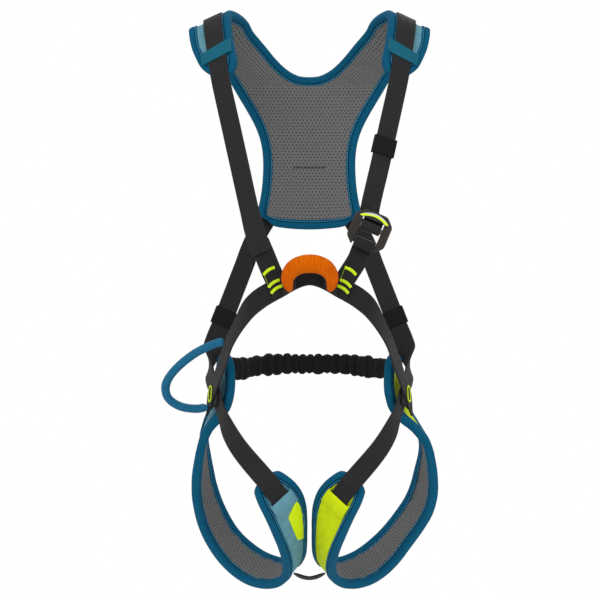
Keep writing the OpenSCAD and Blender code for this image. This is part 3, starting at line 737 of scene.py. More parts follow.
def binding_tape(name, dark, light, grooves):
    """Knitted edge binding: heathered blue with fine cross threads, with painted shade between the threads
    and in the sewn-down groove.
    """
    material, tree, shader, uv, across, along = textile(name, 0.78, gloss=0.06, sheen=0.02)
    slant = mixed(tree, "ADD", along, mixed(tree, "MULTIPLY", across, 0.7))
    threads = wave(tree, slant, 1.2, mixed(tree, "MULTIPLY", speckle(tree, uv, 0.5), 4.0))
    heather = speckle(tree, stretched(tree, uv, 0.7, 1.5, 1.0), 1.6, 3.0)
    # Painted shade between the threads, mixed with the heathered tone.
    share = weighted(tree, threads, 0.35, ramp(tree, heather, 0.2, 0.8), 0.6)
    colour = two_colours(tree, share, dark, light)
    # The sewn-down groove is painted darker: painted shade in the recess.
    for groove in grooves:
        off = mixed(tree, "ABSOLUTE", mixed(tree, "SUBTRACT", across, groove))
        colour = two_colours(tree, ramp(tree, off, 0.25, 0.9), "#042a3d", colour)
    surface(tree, shader, colour, mixed(tree, "MULTIPLY", threads, 1.0), 0.16)
    return material


def satin_thread(name, dark, light, pitch=0.75):
    """Polyester sewing thread laid side by side: bright, with a line of painted shade between neighbouring
    threads.
    """
    material, tree, shader, _, _, along = textile(name, 0.5, sheen=0)
    place = own_place(tree)
    # Painted shade in the lines between neighbouring threads, following the relief.
    lines = weighted(tree, wave(tree, along, pitch), 0.75, speckle(tree, place, 900.0), 0.4)
    surface(tree, shader, two_colours(tree, lines, dark, light), lines, 0.25)
    return material


def pleated_sleeve(name):
    """Ribbed tubular sleeve: orange nylon drawn up into fine upright pleats, with painted shade in their
    valleys.
    """
    pitch = bpy.context.scene.harness_soft.pleat / MM
    material, tree, shader, uv, across, _ = textile(name, 0.5, 1.53, gloss=0.04, sheen=0)
    drift = mixed(tree, "MULTIPLY", speckle(tree, uv, 0.16, 1.0), 7.0)
    pleats = mixed(tree, "POWER", wave(tree, across, pitch, drift), 0.7)
    coarse = speckle(tree, stretched(tree, uv, 1.0, 0.16, 1.0), 0.55)
    # The pleats are deepest across the middle, so the painted shade in their valleys is darkest there.
    central = mixed(tree, "SUBTRACT", 1.0, ramp(tree, mixed(tree, "ABSOLUTE", across), 9.0, 23.0))
    strength = mixed(tree, "MULTIPLY_ADD", central, 0.65, 0.3)
    height = mixed(tree, "MULTIPLY", pleats, strength)
    # Painted shade: the colour darkens with the pleats' relief, over a coarse random tone.
    share = weighted(tree, height, 0.6, coarse, 0.55)
    surface(tree, shader, two_colours(tree, share, "#ab4000", "#ff7d00"), height, 0.5)
    return material


def woven_tube(name, dark, light, slope=0.8, pitch=1.15):
    """Woven tube: yarns cross each other on the slant round the tube, with painted shade between them."""
    material, tree, shader, uv, across, along = textile(name, 0.6, 1.53, sheen_roughness=0.4)
    lean = mixed(tree, "MULTIPLY", along, slope)
    yarns = crossed(tree, across, lean, pitch)
    tone = speckle(tree, uv, 0.3)
    # Painted shade between the yarns, following their relief, mixed with a random tone.
    share = weighted(tree, yarns, 0.8, tone, 0.35)
    surface(tree, shader, two_colours(tree, share, dark, light), yarns, 0.3)
    return material


def knit_elastic(name, dark="#0b0b0c", light="#1e1e20"):
    """Knitted elastic: matt black with fine ribs along its stretch, painted darker in their valleys as shade.
    """
    material, tree, shader, uv, across, along = textile(name, 0.85, sheen=0.02, sheen_roughness=0.6)
    ribs = wave(tree, along, 1.4, mixed(tree, "MULTIPLY", speckle(tree, uv, 0.3), 6.0))
    fine = wave(tree, across, 0.9)
    height = weighted(tree, ribs, 0.7, fine, 0.25)
    # Painted shade: the colour is the ribs' relief, darkest in their valleys.
    surface(tree, shader, two_colours(tree, height, dark, light), height, 0.22)
    return material


def anodised(name, dark, light, roughness=0.36):
    """Black anodised aluminium: satin, with a faint bead-blasted grain."""
    material, tree, shader = new_material(name, **{"Metallic": 0.55, "Roughness": roughness})
    place = own_place(tree)
    grain = speckle(tree, place, 2600.0)
    broad = speckle(tree, place, 60.0)
    surface(tree, shader, two_colours(tree, broad, dark, light), grain, 0.03)
    return material


def printed_band(name):
    """Two printed colours on the buckle: light grey above, fluorescent lime below."""
    enamel = {"Roughness": 0.32, "IOR": 1.46, "Coat Weight": 0.3, "Coat Roughness": 0.15}
    material, tree, shader = new_material(name, **enamel)
    _, _, height = uv_parts(tree)
    share = ramp(tree, height, 0.7, 1.0)
    grain = speckle(tree, own_place(tree), 900.0)
    surface(tree, shader, two_colours(tree, share, "#dcff10", "#c9c6ce"), grain, 0.02)
    return material


def coated_patch(name):
    """Rubber-coated cloth: flat fluorescent lime with a faint pebble, painted darker in its hollows as shade.
    """
    material, tree, shader = new_material(name, **{"Roughness": 0.48, "IOR": 1.5, "Specular IOR Level": 0.3})
    uv, _, _ = uv_parts(tree)
    pebble = speckle(tree, uv, 1.4, 3.0)
    # Painted shade: the pebble's low places are coloured darker.
    surface(tree, shader, two_colours(tree, pebble, "#d2ec00", "#e4fc0c"), pebble, 0.08)
    return material


materials = {}


def make_materials():
    """Fills the table of materials, each named for what it is made of."""
    rib = bpy.context.scene.harness_webbing.rib / MM
    grooves = fold_groove(), fold_end() - fold_groove()
    materials.update(
        ribbed=webbing("Nylon webbing, ribbed needle-loom weave", "#0f0f10", "#292929", rib, 1.0),
        smooth=webbing("Nylon webbing, smooth shuttle weave", "#131314", "#29292a", 1.3, 0.35),
        narrow=webbing("Polyester tape, narrow weave", "#0f0f10", "#222223", 1.3, 0.35, 4.4),
        mesh=mesh_lining("Polyester spacer mesh, perforated knit"),
        teal=plain_cloth("Polyester cloth, light teal plain weave", "#467c8d", "#80b4c4"),
        lime=plain_cloth("Polyester cloth, lime plain weave", "#b8cc04", "#ecff10"),
        band=plain_cloth("Polyester band, teal plain weave", "#0a5266", "#156f86", 0.6),
        binding=binding_tape("Polyester edge binding, knitted", "#003c58", "#126c90", grooves),
        lime_thread=satin_thread("Polyester thread, lime satin stitch", "#b4d400", "#e6ff30"),
        black_thread=satin_thread("Polyester thread, black lockstitch", "#0a0a0b", "#1d1d1f"),
        blue_thread=satin_thread("Polyester thread, blue lockstitch", "#3d8fb8", "#63abcf"),
        sleeve=pleated_sleeve("Nylon sleeve, pleated tubular weave"),
        loop=woven_tube("Polyester tube, diagonal weave", "#0c4f70", "#2a8bb5"),
        core=webbing("Nylon webbing, folded bar-tacked core", "#131314", "#29292a", 1.4, 0.5),
        elastic=knit_elastic("Elastic cloth, gathered knit"),
        keeper=knit_elastic("Elastic band, flat knit", "#0d0d0e", "#1c1c1e"),
        frame=anodised("Aluminium, black anodised", "#231e1a", "#332c27"),
        bar=anodised("Steel bar, blackened", "#55524f", "#74706c", 0.3),
        accent=printed_band("Printed enamel on aluminium"),
        patch=coated_patch("Coated cloth, lime"),
    )


# ---------- padding and its binding ----------


def border_loops(node):
    """The closed sharp edges round a padding layer, as rows of points."""
    mesh = merged_mesh(node)
    near = {}
    for edge in mesh.edges:
        if len(edge.link_faces) == 2 and edge.calc_face_angle() > SHARP and edge.calc_length() > 0.95 * MM:
            for v in edge.verts:
                near.setdefault(v, set()).add(edge.other_vert(v))
    spurs = [v for v in near if len(near[v]) == 1]
    while spurs:
        v = spurs.pop()
        for other in near.pop(v):
            near[other].discard(v)
            if len(near[other]) == 1:
                spurs.append(other)
            elif not near[other]:
                near.pop(other)
                spurs = [s for s in spurs if s is not other]
    loops, seen = [], set()
    for v in in_order(near):
        line = []
        while v and v not in seen:
            seen.add(v)
            line.append(v)
            v = next((other for other in in_order(near[v]) if other not in seen), None)
        if line:
            loops.append(np.array([list(v.co) for v in line]))
    mesh.free()
    return sorted(loops, key=len)[-2:]


def edge_frames(lining, shell):
    """Where a pad's edge runs on its inner face, the way to its outer face, and the way out of the pad."""
    inside, outside = surface_of(lining), surface_of(shell)
    low = max(border_loops(lining), key=lambda loop: distances(outside, loop).mean())
    high = max(border_loops(shell), key=lambda loop: distances(inside, loop).mean())
    if len(low) != len(high):
        raise ValueError(f"the edges of {lining} and {shell} have {len(low)} and {len(high)} points")
    choices = [np.roll(way, shift, axis=0) for way in (high, high[::-1]) for shift in range(len(high))]
    high = min(choices, key=lambda loop: np.linalg.norm(loop - low, axis=1).sum())
    through = high - low
    thickness = np.linalg.norm(through, axis=1)
    middle = (low + high) / 2
    along = unit(np.roll(middle, -1, axis=0) - np.roll(middle, 1, axis=0))
    away = unit(np.cross(along, unit(through)))
    probe = away * 3 * MM
    if distances(inside, low + probe).sum() < distances(inside, low - probe).sum():
        away = -away
    return low, unit(through), away, thickness


GROOVE = 4  # the place of the sewn-down groove among the points of the fold's profile


def fold_profile(fold, thickness):
    """The binding's outer line, in mm, from its edge on the inner face to its edge on the outer face.

    Each point is how far it stands out of the pad's edge and how far through the pad.
    """
    half = [
        (-fold, -0.10),
        (-fold + 0.2, -0.70),
        (-fold + 0.9, -0.95),
        (-fold + 1.7, -0.92),
        (-fold + 2.4, -0.50),
        (-fold + 3.2, -1.00),
        (-fold + 4.4, -1.30),
        (-1.2, -1.30),
        (0.0, -1.10),
        (0.8, -0.55),
        (1.2, 0.3),
        (1.35, thickness * 0.3),
    ]
    return np.array(half + [(1.4, thickness / 2)] + [(a, thickness - h) for a, h in reversed(half)])


def fold_lengths():
    """Length along the binding's outer line up to each of its points, in mm."""
    profile = fold_profile(bpy.context.scene.harness_padding.fold / MM, PAD_THICKNESS)
    return length_along(profile)


def fold_groove():
    """Where the stitches sink into the binding, in mm from its edge."""
    return float(fold_lengths()[GROOVE])


def fold_end():
    """The binding's whole width, in mm."""
    return float(fold_lengths()[-1])


def binding(name, lining, shell, body, node):
    """The tape folded over a pad's edge, and its two rows of stitches."""
    low, through, away, thickness = edge_frames(lining, shell)
    low, through, away = (smooth_rows(rows, 3, closed=True) for rows in (low, through, away))
    thickness = smooth_rows(thickness[:, None], 3, closed=True)[:, 0]
    through, away = unit(through), unit(away)
    fold = bpy.context.scene.harness_padding.fold / MM
    count = len(low)
    turn = np.linspace(0, 2 * math.pi, count, endpoint=False)
    # The fold's height wanders round the pad, on its two faces apart
    swell = 1 + 0.10 * np.sin(turn * 23 + 2 * np.sin(turn * 7)) + 0.07 * np.sin(turn * 61)
    rows = []
    for k in [*range(count), 0]:
        thick = thickness[k] / MM
        profile = fold_profile(fold, thick)
        half = len(profile) // 2
        profile[:half, 1] *= swell[k]
        profile[half + 1 :, 1] = thick + (profile[half + 1 :, 1] - thick) * swell[(k + 40) % count]
        rows.append(low[k] + (away[k] * profile[:, :1] + through[k] * profile[:, 1:]) * MM)
    rows = np.array(rows)
    uv = grid_uv(fold_lengths() * MM, length_along(np.concatenate([low, low[:1]])))
    obj = sheet(name, rows, uv)
    in_edit_mode(obj, lambda: bpy.ops.mesh.remove_doubles(threshold=0.02 * MM), face_outward)
    thicken(obj, 0.5 * MM)
    finish(obj, materials["binding"], body, [node], 60)
    places = []
    pitch = bpy.context.scene.harness_webbing.stitch
    for column, sign in ((2, -1), (len(rows[0]) - 3, 1)):
        line = (rows[:, column] + rows[:, column - sign]) / 2
        facing = sign * np.concatenate([through, through[:1]])
        places += stitch_places(line, facing, pitch, 0.36 * MM)
    threads = stitches(name + "_stitches", places, pitch * 0.66, 0.34 * MM)
    finish(threads, materials["blue_thread"], body)
    return obj


def leg_map(lining):
    """A function that gives the place on a leg pad as metres across and along it."""
    loop = max(border_loops(lining), key=lambda points: length_along(points)[-1])
    count = len(loop)
    half = count // 2

    def pairs(start):
        """The edge's points taken in twos, from one tip of the pad to the other."""
        return [((start + k) % count, (start - k) % count) for k in range(half + 1)]

    start = min(range(count), key=lambda s: sum(np.linalg.norm(loop[a] - loop[b]) for a, b in pairs(s)))
    first = np.array([loop[a] for a, _ in pairs(start)])
    second = np.array([loop[b] for _, b in pairs(start)])
    along = length_along((first + second) / 2)
    width = np.linalg.norm(first - second, axis=1)
    points = [Vector(p) for p in np.concatenate([first, second])]
    places = [Vector((side * w / 2, v, 0)) for side in (-1, 1) for w, v in zip(width, along)]
    n = len(first)
    faces = [face for i in range(half) for face in ((i, i + 1, n + i + 1), (i, n + i + 1, n + i))]
    tree = BVHTree.FromPolygons(points, faces)

    def place(point):
        """Metres across and along the pad."""
        hit, _, index, _ = tree.find_nearest(Vector(point))
        a, b, c = faces[index]
        triangles = [table[i] for table in (points, places) for i in (a, b, c)]
        made = barycentric_transform(hit, *triangles)
        return made.x, made.y

    return place


def yoke_map(point):
    """Metres across the yoke and up its back, over the shoulder and down the front."""
    x, y, z = point
    axis_y, axis_z, radius = 0.100, 0.195, 0.050  # of the bend over the shoulders
    if z < axis_z:
        return x, z if y > axis_y else 2 * axis_z + math.pi * radius - z
    return x, axis_z + radius * math.atan2(z - axis_z, y - axis_y)


def stuffed(name, layers, neighbours, edge, body, faces, place):
    """A pad: its layers as one soft solid, filled out by a cloth simulation where nothing holds it down.

    faces are the materials of its inner and outer faces.
    """
    settings = bpy.context.scene.harness_padding
    parts = [copy_of(node, name) for node in layers]
    joined = 0.2 * MM  # each layer is fattened by this, so that the layers melt into one
    for part in parts:
        in_edit_mode(part, lambda: bpy.ops.transform.shrink_fatten(value=joined))
    pick(*parts)
    bpy.ops.object.join()
    obj = bpy.context.object
    obj.name = obj.data.name = name
    apply(obj, "REMESH", mode="VOXEL", voxel_size=settings.grain)
    keep_largest_part(obj)
    before = coordinates(obj)
    held = obj.vertex_groups.new(name="held")
    by_binding = 1.6 * MM  # nearer than this to the binding, the pad is held down
    at_edge = np.where(distances(surface_of(edge), before) < by_binding)[0]
    held.add([int(i) for i in at_edge], 1.0, "REPLACE")
    fill_out(obj, held)
    step = coordinates(obj) - before
    clear, least = 0.35 * MM, 0.02 * MM  # kept free before a neighbour, and the least that a place rises
    room = np.clip(distances(surface_of(*neighbours), before) - clear, least, settings.rise)
    reach = np.linalg.norm(step, axis=1)
    place_vertices(obj, before + step * np.minimum(1, room / np.maximum(reach, 1e-9))[:, None])
    obj.vertex_groups.clear()
    apply(obj, "SUBSURF", levels=1, render_levels=1)
    inner, outer = surface_of(layers[0]), surface_of(layers[-1])
    points = coordinates(obj)
    set_uv(obj, np.array([place(p) for p in points]))
    for material in faces:
        obj.data.materials.append(material)
    centres = np.empty(len(obj.data.polygons) * 3)
    obj.data.polygons.foreach_get("center", centres)
    centres = centres.reshape(-1, 3)
    is_outer = distances(outer, centres) < distances(inner, centres)
    obj.data.polygons.foreach_set("material_index", is_outer.astype(np.int32))
    finish(obj, None, body, layers, 70)
    return obj


def keep_largest_part(obj):
    """Deletes all but the part of a mesh that has the most vertices."""
    mesh = bmesh.new()
    mesh.from_mesh(obj.data)
    parts = sorted(connected_parts(mesh), key=len)
    bmesh.ops.delete(mesh, geom=[v for part in parts[:-1] for v in part], context="VERTS")
    mesh.to_mesh(obj.data)
    mesh.free()


def fill_out(obj, held):
    """Swells a closed mesh with air for so many frames, its held vertices staying put."""
    pick(obj)
    modifier = obj.modifiers.new("Stuffing", "CLOTH")
    cloth = modifier.settings
    cloth.quality = 4
    cloth.mass = 0.15
    cloth.tension_stiffness = cloth.compression_stiffness = 20
    cloth.shear_stiffness = 10
    cloth.bending_stiffness = 1.0
    cloth.use_pressure = True
    cloth.uniform_pressure_force = 4
    cloth.vertex_group_mass = held.name
    cloth.effector_weights.gravity = 0
    modifier.collision_settings.use_collision = False
    frames = 20
    modifier.point_cache.frame_end = frames
    for number in range(1, frames + 1):
        bpy.context.scene.frame_set(number)
    bpy.ops.object.modifier_apply(modifier=modifier.name)
    bpy.context.scene.frame_set(1)


# ---------- pieces ----------


def rounded_copy(node, name, width, segments, angle, corner=0):
    """A copy of a CAD node with bevelled edges; corner is the radius of a plate's outline corners."""
    obj = copy_of(node, name)
    in_edit_mode(obj, merge_flat_faces)
    if corner:
        round_corners(obj, corner)
    bevel = {"limit_method": "ANGLE", "angle_limit": angle, "use_clamp_overlap": True}
    apply(obj, "BEVEL", width=width, segments=segments, **bevel)
    return obj


def cloth_copy(name, node, material, body, width=0.3 * MM, segments=2, angle=0.7):
    """A copy of a small sewn CAD node with rounded edges, and its UV map laid along its longest way."""
    obj = rounded_copy(node, name, width, segments, angle)
    lay_uv(obj)
    return finish(obj, material, body, [node])


def lay_uv(obj):
    """UV in metres along the mesh's two longest ways."""
    points = coordinates(obj)
    middle = points.mean(0)
    _, ways = np.linalg.eigh(np.cov((points - middle).T))
    set_uv(obj, np.stack([(points - middle) @ ways[:, 1], (points - middle) @ ways[:, 2]], 1))


def bow_through(points):
    """The curve along the middle of a bent strip of a plane: its place, ways and the bow's polynomial."""
    middle = points.mean(0)
    _, _, (along, across) = np.linalg.svd(points - middle, full_matrices=False)
    reach = (points - middle) @ along
    return middle, along, across, np.polyfit(reach, (points - middle) @ across, 2), reach


def tack(name, node):
    """The padded base of bar tacks: each solid of the node rounded off."""
    cloth_copy(name, node, materials["lime_thread"], "torso_webbing", 0.34 * MM, 3, 0.9)


def arc_threads(name, node):
    """Threads sewn across each curved bar tack of a node, and the dotted line that joins the first two."""
    mesh = merged_mesh(node)
    parts = [np.array([list(v.co) for v in part]) for part in connected_parts(mesh)]
    mesh.free()
    places, ends = [], []
    for part in sorted(parts, key=lambda points: -points[:, 2].mean()):
        middle, along, across, bow, reach = bow_through(part[:, [0, 2]])
        front = part[:, 1].min()
        end_gap, spacing, uneven = 0.8 * MM, 0.62 * MM, 0.22 * MM
        steps = np.arange(reach.min() + end_gap, reach.max() - end_gap, spacing)
        line = []
        for i, step in enumerate(steps):
            out = unit(across - along * np.polyval(np.polyder(bow), step))
            at = middle + along * step + across * np.polyval(bow, step) + out * uneven * math.sin(i * 2.4)
            line.append((np.array([at[0], front, at[1]]), (out[0], 0, out[1]), (0, -1, 0)))
        places += line
        ends.append(min((line[0][0], line[-1][0]), key=lambda end: end[0]))
    dots = stitch_places(ends[:2], [(0, -1, 0)] * 2, 1.15 * MM, 0.0, 1.2 * MM)
    for threads in (
        stitches(name, places, 3.3 * MM, 0.36 * MM),
        stitches(name + "_line", dots, 0.8 * MM, 0.3 * MM),
    ):
        finish(threads, materials["lime_thread"], "torso_webbing")


def seam_on(name, nodes, first, last, spacing, pitch, radius=0.3 * MM):
    """Two rows of stitches between two picture points, laid on the nodes' surface, the second row below."""
    tree = surface_of(*nodes)
    (first_x, first_y), (last_x, last_y) = POINTS[first], POINTS[last]
    parts = 8
    places = []
    for shift in (0, spacing):
        line = []
        for k in range(parts + 1):
            x = first_x + (last_x - first_x) * k / parts
            y = first_y + (last_y - first_y) * k / parts + shift
            line.append(seen_at(tree, x, y))
        points, facings = zip(*line)
        places += stitch_places(points, facings, pitch, radius * 0.3)
    obj = stitches(name, places, pitch * 0.62, radius)
    finish(obj, materials["black_thread"], "torso_webbing")


def above_waist_edge(points):
    """Points moved up to the waist strap's lower edge where they hang below it."""
    middle, side, _, width = strap_frames("waist_strap")
    lower = middle - side * width[:, None] / 2 * np.sign(side[:, 2:])
    front = 60 * MM  # to either side of the middle
    lower = lower[np.abs(lower[:, 0]) < front]
    lower = lower[np.argsort(lower[:, 0])]
    moved = points.copy()
    edge = np.interp(points[..., 0], lower[:, 0], lower[:, 2])
    moved[..., 2] = np.maximum(points[..., 2], edge + 0.3 * MM)
    return moved


def rounded_middle(rows):
    """Rows of the waist strap, with the bend at its middle evened out."""
    # Wholly within 8 mm of the middle, fading out at 22 mm
    near = np.clip(1.6 - np.abs(rows.mean(1)[1:-1, 0]) / (14 * MM), 0, 1)[:, None, None]
    for _ in range(14):
        rows[1:-1] += near * (0.25 * (rows[:-2] + rows[2:]) - 0.5 * rows[1:-1])
    return rows


def soften_corners(obj):
    """Draws in the two lower corners of the yoke, which the sewer rounds off with the binding."""
    points = coordinates(obj)
    low = min(points[:, 2])
    half_width = 50 * MM
    most_drawn, fading = 5.2 * MM, 9 * MM
    for side in (-1, 1):
        corner = np.array([side * half_width, low])
        away = np.linalg.norm(points[:, [0, 2]] - corner, axis=1)
        pull = most_drawn * np.exp(-((away / fading) ** 2))
        points[:, 0] -= side * pull
        points[:, 2] += pull
    # The lower edge hangs 2.5 mm lower at its middle and 3 mm higher at its ends
    outward = np.clip(np.abs(points[:, 0]) / half_width, 0, 1) ** 2
    points[:, 2] += (5.5 * outward - 2.5) * MM * np.exp(-(((points[:, 2] - low) / (16 * MM)) ** 2))
    place_vertices(obj, points)


class HARNESS_OT_yoke(bpy.types.Operator):
    """The padded yoke: perforated mesh lining, outer cloth, binding and retainer bands"""

    bl_idname = "harness.yoke"
    bl_label = "Yoke"

    def execute(self, context):
        layers = ["yoke_lining", "yoke_foam", "yoke_shell"]
        neighbours = [f"shoulder_{kind}_{side}" for kind in ("strap", "retainer") for side in SIDES]
        neighbours.append("back_cross_tack")
        faces = materials["mesh"], materials["teal"]
        stuffed("yoke_pad", layers, neighbours, "yoke_binding", "torso_webbing", faces, yoke_map)
        binding("yoke_edge", "yoke_lining", "yoke_shell", "torso_webbing", "yoke_binding")
        for name in ("yoke_pad", "yoke_edge", "yoke_edge_stitches"):
            soften_corners(bpy.data.objects[name])
        for side in SIDES:
            name = f"shoulder_retainer_{side}"
            cloth_copy(f"retainer_{side}", name, materials["band"], "torso_webbing")
        cloth_copy("cross_tack", "back_cross_tack", materials["smooth"], "torso_webbing")
        seam_on("yoke_slit", ["yoke_pad"], "slit_left", "slit_right", 1.1, 2.6 * MM, 0.55 * MM)
        return {"FINISHED"}


def lay_patch():
    """The bare lime patch: a four-cornered piece of cloth laid on the left leg loop's pad."""
    tree = surface_of("leg_pad_left")
    centre, _ = seen_at(tree, *POINTS["leg_patch_left"])
    top, left, foot, right = np.array([[-0.7, 0, 20], [-9, 0, 2.5], [0.4, 0, -20], [8.4, 0, -17]]) * MM
    bulge = np.array([3.6, 0, -0.5]) * MM
    count = 17
    share = np.linspace(0, 1, count)
    rows = np.empty((count, count, 3))
    for i, s in enumerate(share):
        for j, t in enumerate(share):
            flat = (1 - t) * ((1 - s) * top + s * left) + t * (s * foot + (1 - s) * right)
            flat = flat + (1 - s) * 4 * t * (1 - t) * bulge
            place, facing = struck(tree, (centre + Vector(flat) - CAMERA_AT).normalized())
            rows[i, j] = place + facing * 0.3 * MM
    for i, near_i in ((0, 1), (-1, -2)):
        for j, near_j in ((0, 1), (-1, -2)):
            rows[i, j] = (rows[i, j] + rows[near_i, near_j]) / 2
    uv = np.stack(np.meshgrid(share * 22 * MM, share * 38 * MM, indexing="ij"), -1)
    patch = sheet("patch", rows, uv)
    thicken(patch, 0.8 * MM)
    finish(patch, materials["patch"], "leg_loops", ["leg_patch_left"])


class HARNESS_OT_leg_loops(bpy.types.Operator):
    """Both padded leg loops with their bindings, pockets and straps"""

    bl_idname = "harness.leg_loops"
    bl_label = "Leg loops"

    def execute(self, context):
        for side, cloth, slot in (("left", "teal", "cloth_teal"), ("right", "lime", "cloth_lime")):
            layers = [f"leg_lining_{side}", f"leg_foam_{side}", f"leg_shell_{side}"]
            neighbours = [f"leg_strap_{side}", f"leg_pocket_{side}", f"hip_tack_{side}"]
            neighbours += ["waist_strap", "crotch_strap", "shoulder_strap_left", "shoulder_strap_right"]
            if side == "left":
                neighbours += ["leg_patch_left", "gear_loop_sleeve"]
            edge = f"leg_binding_{side}"
            faces = materials["mesh"], materials[cloth]
            stuffed(f"leg_pad_{side}", layers, neighbours, edge, "leg_loops", faces, leg_map(layers[0]))
            binding(f"leg_edge_{side}", layers[0], layers[2], "leg_loops", edge)
            strap = ribbon(f"leg_webbing_{side}", strap_frames(f"leg_strap_{side}"))
            finish(strap, materials["ribbed"], "leg_loops", [f"leg_strap_{side}"])
            cloth_copy(f"pocket_{side}", f"leg_pocket_{side}", materials[cloth], "leg_loops", 0.25 * MM)
        lay_patch()
        strap = ribbon("crotch_tape", strap_frames("crotch_strap"), 1.6 * MM, across=6)
        finish(strap, materials["narrow"], "leg_loops", ["crotch_strap"])
        return {"FINISHED"}


class HARNESS_OT_straps(bpy.types.Operator):
    """Shoulder straps, waist strap and chest tabs, with their seams and bar tacks"""

    bl_idname = "harness.straps"
    bl_label = "Straps"

    def execute(self, context):
        for node, kind, trim in (
            ("shoulder_strap_left", "ribbed", None),
            ("shoulder_strap_right", "ribbed", None),
            ("waist_strap", "smooth", rounded_middle),
            ("chest_tab_left", "smooth", above_waist_edge),
            ("chest_tab_right", "smooth", above_waist_edge),
        ):
            name = node.replace("strap", "webbing").replace("tab", "webbing")
            strap = ribbon(name, strap_frames(node), trim=trim)
            finish(strap, materials[kind], "torso_webbing", [node])
        for side in SIDES:
            tack(f"chest_bar_tacks_{side}", f"chest_tacks_{side}")
            arc_threads(f"chest_threads_{side}", f"chest_tacks_{side}")
            tack(f"hip_bar_tack_{side}", f"hip_tack_{side}")
        nodes = ["shoulder_strap_left", "chest_tab_left"]
        seam_on("seam_left", nodes, "seam_left_low", "seam_left_high", 4.0, 2.2 * MM)
        seam_on("seam_right", ["chest_tab_right"], "seam_right_low", "seam_right_high", 3.0, 2.2 * MM)
        return {"FINISHED"}


def round_corners(obj, radius):
    """Rounds the outline's corners of a plate that stands upright in the view from the front."""
    mesh = bmesh.new()
    mesh.from_mesh(obj.data)

    def is_corner(edge):
        """Whether an edge runs through the plate and its outline bends outward there."""
        bends = len(edge.link_faces) == 2 and edge.is_convex and edge.calc_face_angle() > 0.25
        through = (edge.verts[0].co - edge.verts[1].co).normalized()
        return bends and abs(through.y) > 0.9 and edge.calc_length() > 4 * MM

    def corners():
        """The plate's outer corners as the mesh stands now."""
        return [edge for edge in mesh.edges if is_corner(edge)]

    tips = in_order({vert for edge in corners() for vert in edge.verts})
    bmesh.ops.remove_doubles(mesh, verts=tips, dist=0.6 * MM)
    shape = {"segments": 5, "profile": 0.5, "affect": "EDGES", "clamp_overlap": True}
    bmesh.ops.bevel(mesh, geom=corners(), offset=radius, **shape)
    mesh.to_mesh(obj.data)
    mesh.free()


class HARNESS_OT_buckle(bpy.types.Operator):
    """The slide buckle: frame, sliding bar and printed band"""

    bl_idname = "harness.buckle"
    bl_label = "Buckle"

    def execute(self, context):
        for name, node, kind, body, slot, width, corner in (
            ("buckle_body", "buckle_frame", "frame", "torso_webbing", "buckle_black", 0.7, 2.6),
            ("buckle_bar", "buckle_slider", "bar", "buckle_bar", "bar_grey", 0.3, 0),
        ):
            obj = rounded_copy(node, name, width * MM, 3, 0.6, corner * MM)
            finish(obj, materials[kind], body, [node], 30)
        obj = rounded_copy("buckle_accent", "buckle_band", 0.15 * MM, 2, 0.9)
        points = coordinates(obj)[:, [0, 2]]
        middle, _, across, bow, reach = bow_through(points)
        height = ((points - middle) @ across - np.polyval(bow, reach)) * np.sign(across[1])
        set_uv(obj, np.stack([reach, height], 1))
        finish(obj, materials["accent"], "torso_webbing", ["buckle_accent"])
        return {"FINISHED"}


class HARNESS_OT_keepers(bpy.types.Operator):
    """The three elastic strap keepers"""

    bl_idname = "harness.keepers"
    bl_label = "Strap keepers"

    def execute(self, context):
        for node, body in (
            ("keeper_front", "front_keeper"),
            ("keeper_rear_left", "rear_keeper_left"),
            ("keeper_rear_right", "rear_keeper_right"),
        ):
            cloth_copy(node + "_band", node, materials["keeper"], body, 0.9 * MM, 3)
        return {"FINISHED"}


class HARNESS_OT_tie_in(bpy.types.Operator):
    """The tie-in loop: pleated orange sleeve over its webbing core"""

    bl_idname = "harness.tie_in"
    bl_label = "Tie-in loop"

    def execute(self, context):
        # Half of the arch in its own plane: x, height, width in the plane and thickness, in mm from the hinge
        half = [
            (-18.8, 2.8, 4.2, 4.6),
            (-19.8, 5.6, 7.6, 7.4),
            (-21.0, 10.4, 10.8, 9.8),
            (-21.4, 16.6, 12.8, 11.4),
            (-19.2, 23.0, 15.2, 12.0),
            (-14.2, 28.6, 17.4, 12.0),
            (-7.4, 31.7, 18.6, 12.0),
            (0.0, 32.6, 19.2, 12.0),
        ]
        stations = smooth_rows(np.array(half + [(-x, h, w, t) for x, h, w, t in reversed(half[:-1])]), 8)
        lean = math.radians(27)  # of the arch to the front
        hinge = np.array([0, -5.8, -18.0])
        plane = np.array([[1, 0, 0], [0, -math.sin(lean), math.cos(lean)]])
        plane_out = np.array([0, math.cos(lean), math.sin(lean)])
        around = 40
        angle = np.linspace(0, 2 * math.pi, around + 1)
        along = unit(np.gradient(stations[:, :2], axis=0))
        normal = np.stack([-along[:, 1], along[:, 0]], 1)
        closing = 6  # stations over which each end closes
        rows, uv = [], []
        for i, (x, h, w, t) in enumerate(stations):
            end = min(i, len(stations) - 1 - i)
            close = 1.0 if end >= closing else math.sqrt(max(1 - (1 - end / closing) ** 2, 0.02))
            fine = 0.28 * math.sin(i * 2.1) * (1 if abs(x) < 17 else 0.35)  # small folds, flatter on the legs
            flat = np.array([x, h]) + normal[i] * (w / 2 * close * np.cos(angle))[:, None]
            deep = (t / 2 + fine) * close * np.sin(angle)
            rows.append(hinge + flat @ plane + deep[:, None] * plane_out)
            uv.append(flat)
        obj = tube("tie_in_cover", np.array(rows) * MM, np.array(uv) * MM)
        finish(obj, materials["sleeve"], "tie_in_loop", ["tie_in_sleeve"], 80)
        core = materials["core"]
        core = cloth_copy("tie_in_webbing", "tie_in_core", core, "tie_in_loop", 0.5 * MM)
        place_vertices(core, above_waist_edge(coordinates(core)))
        return {"FINISHED"}


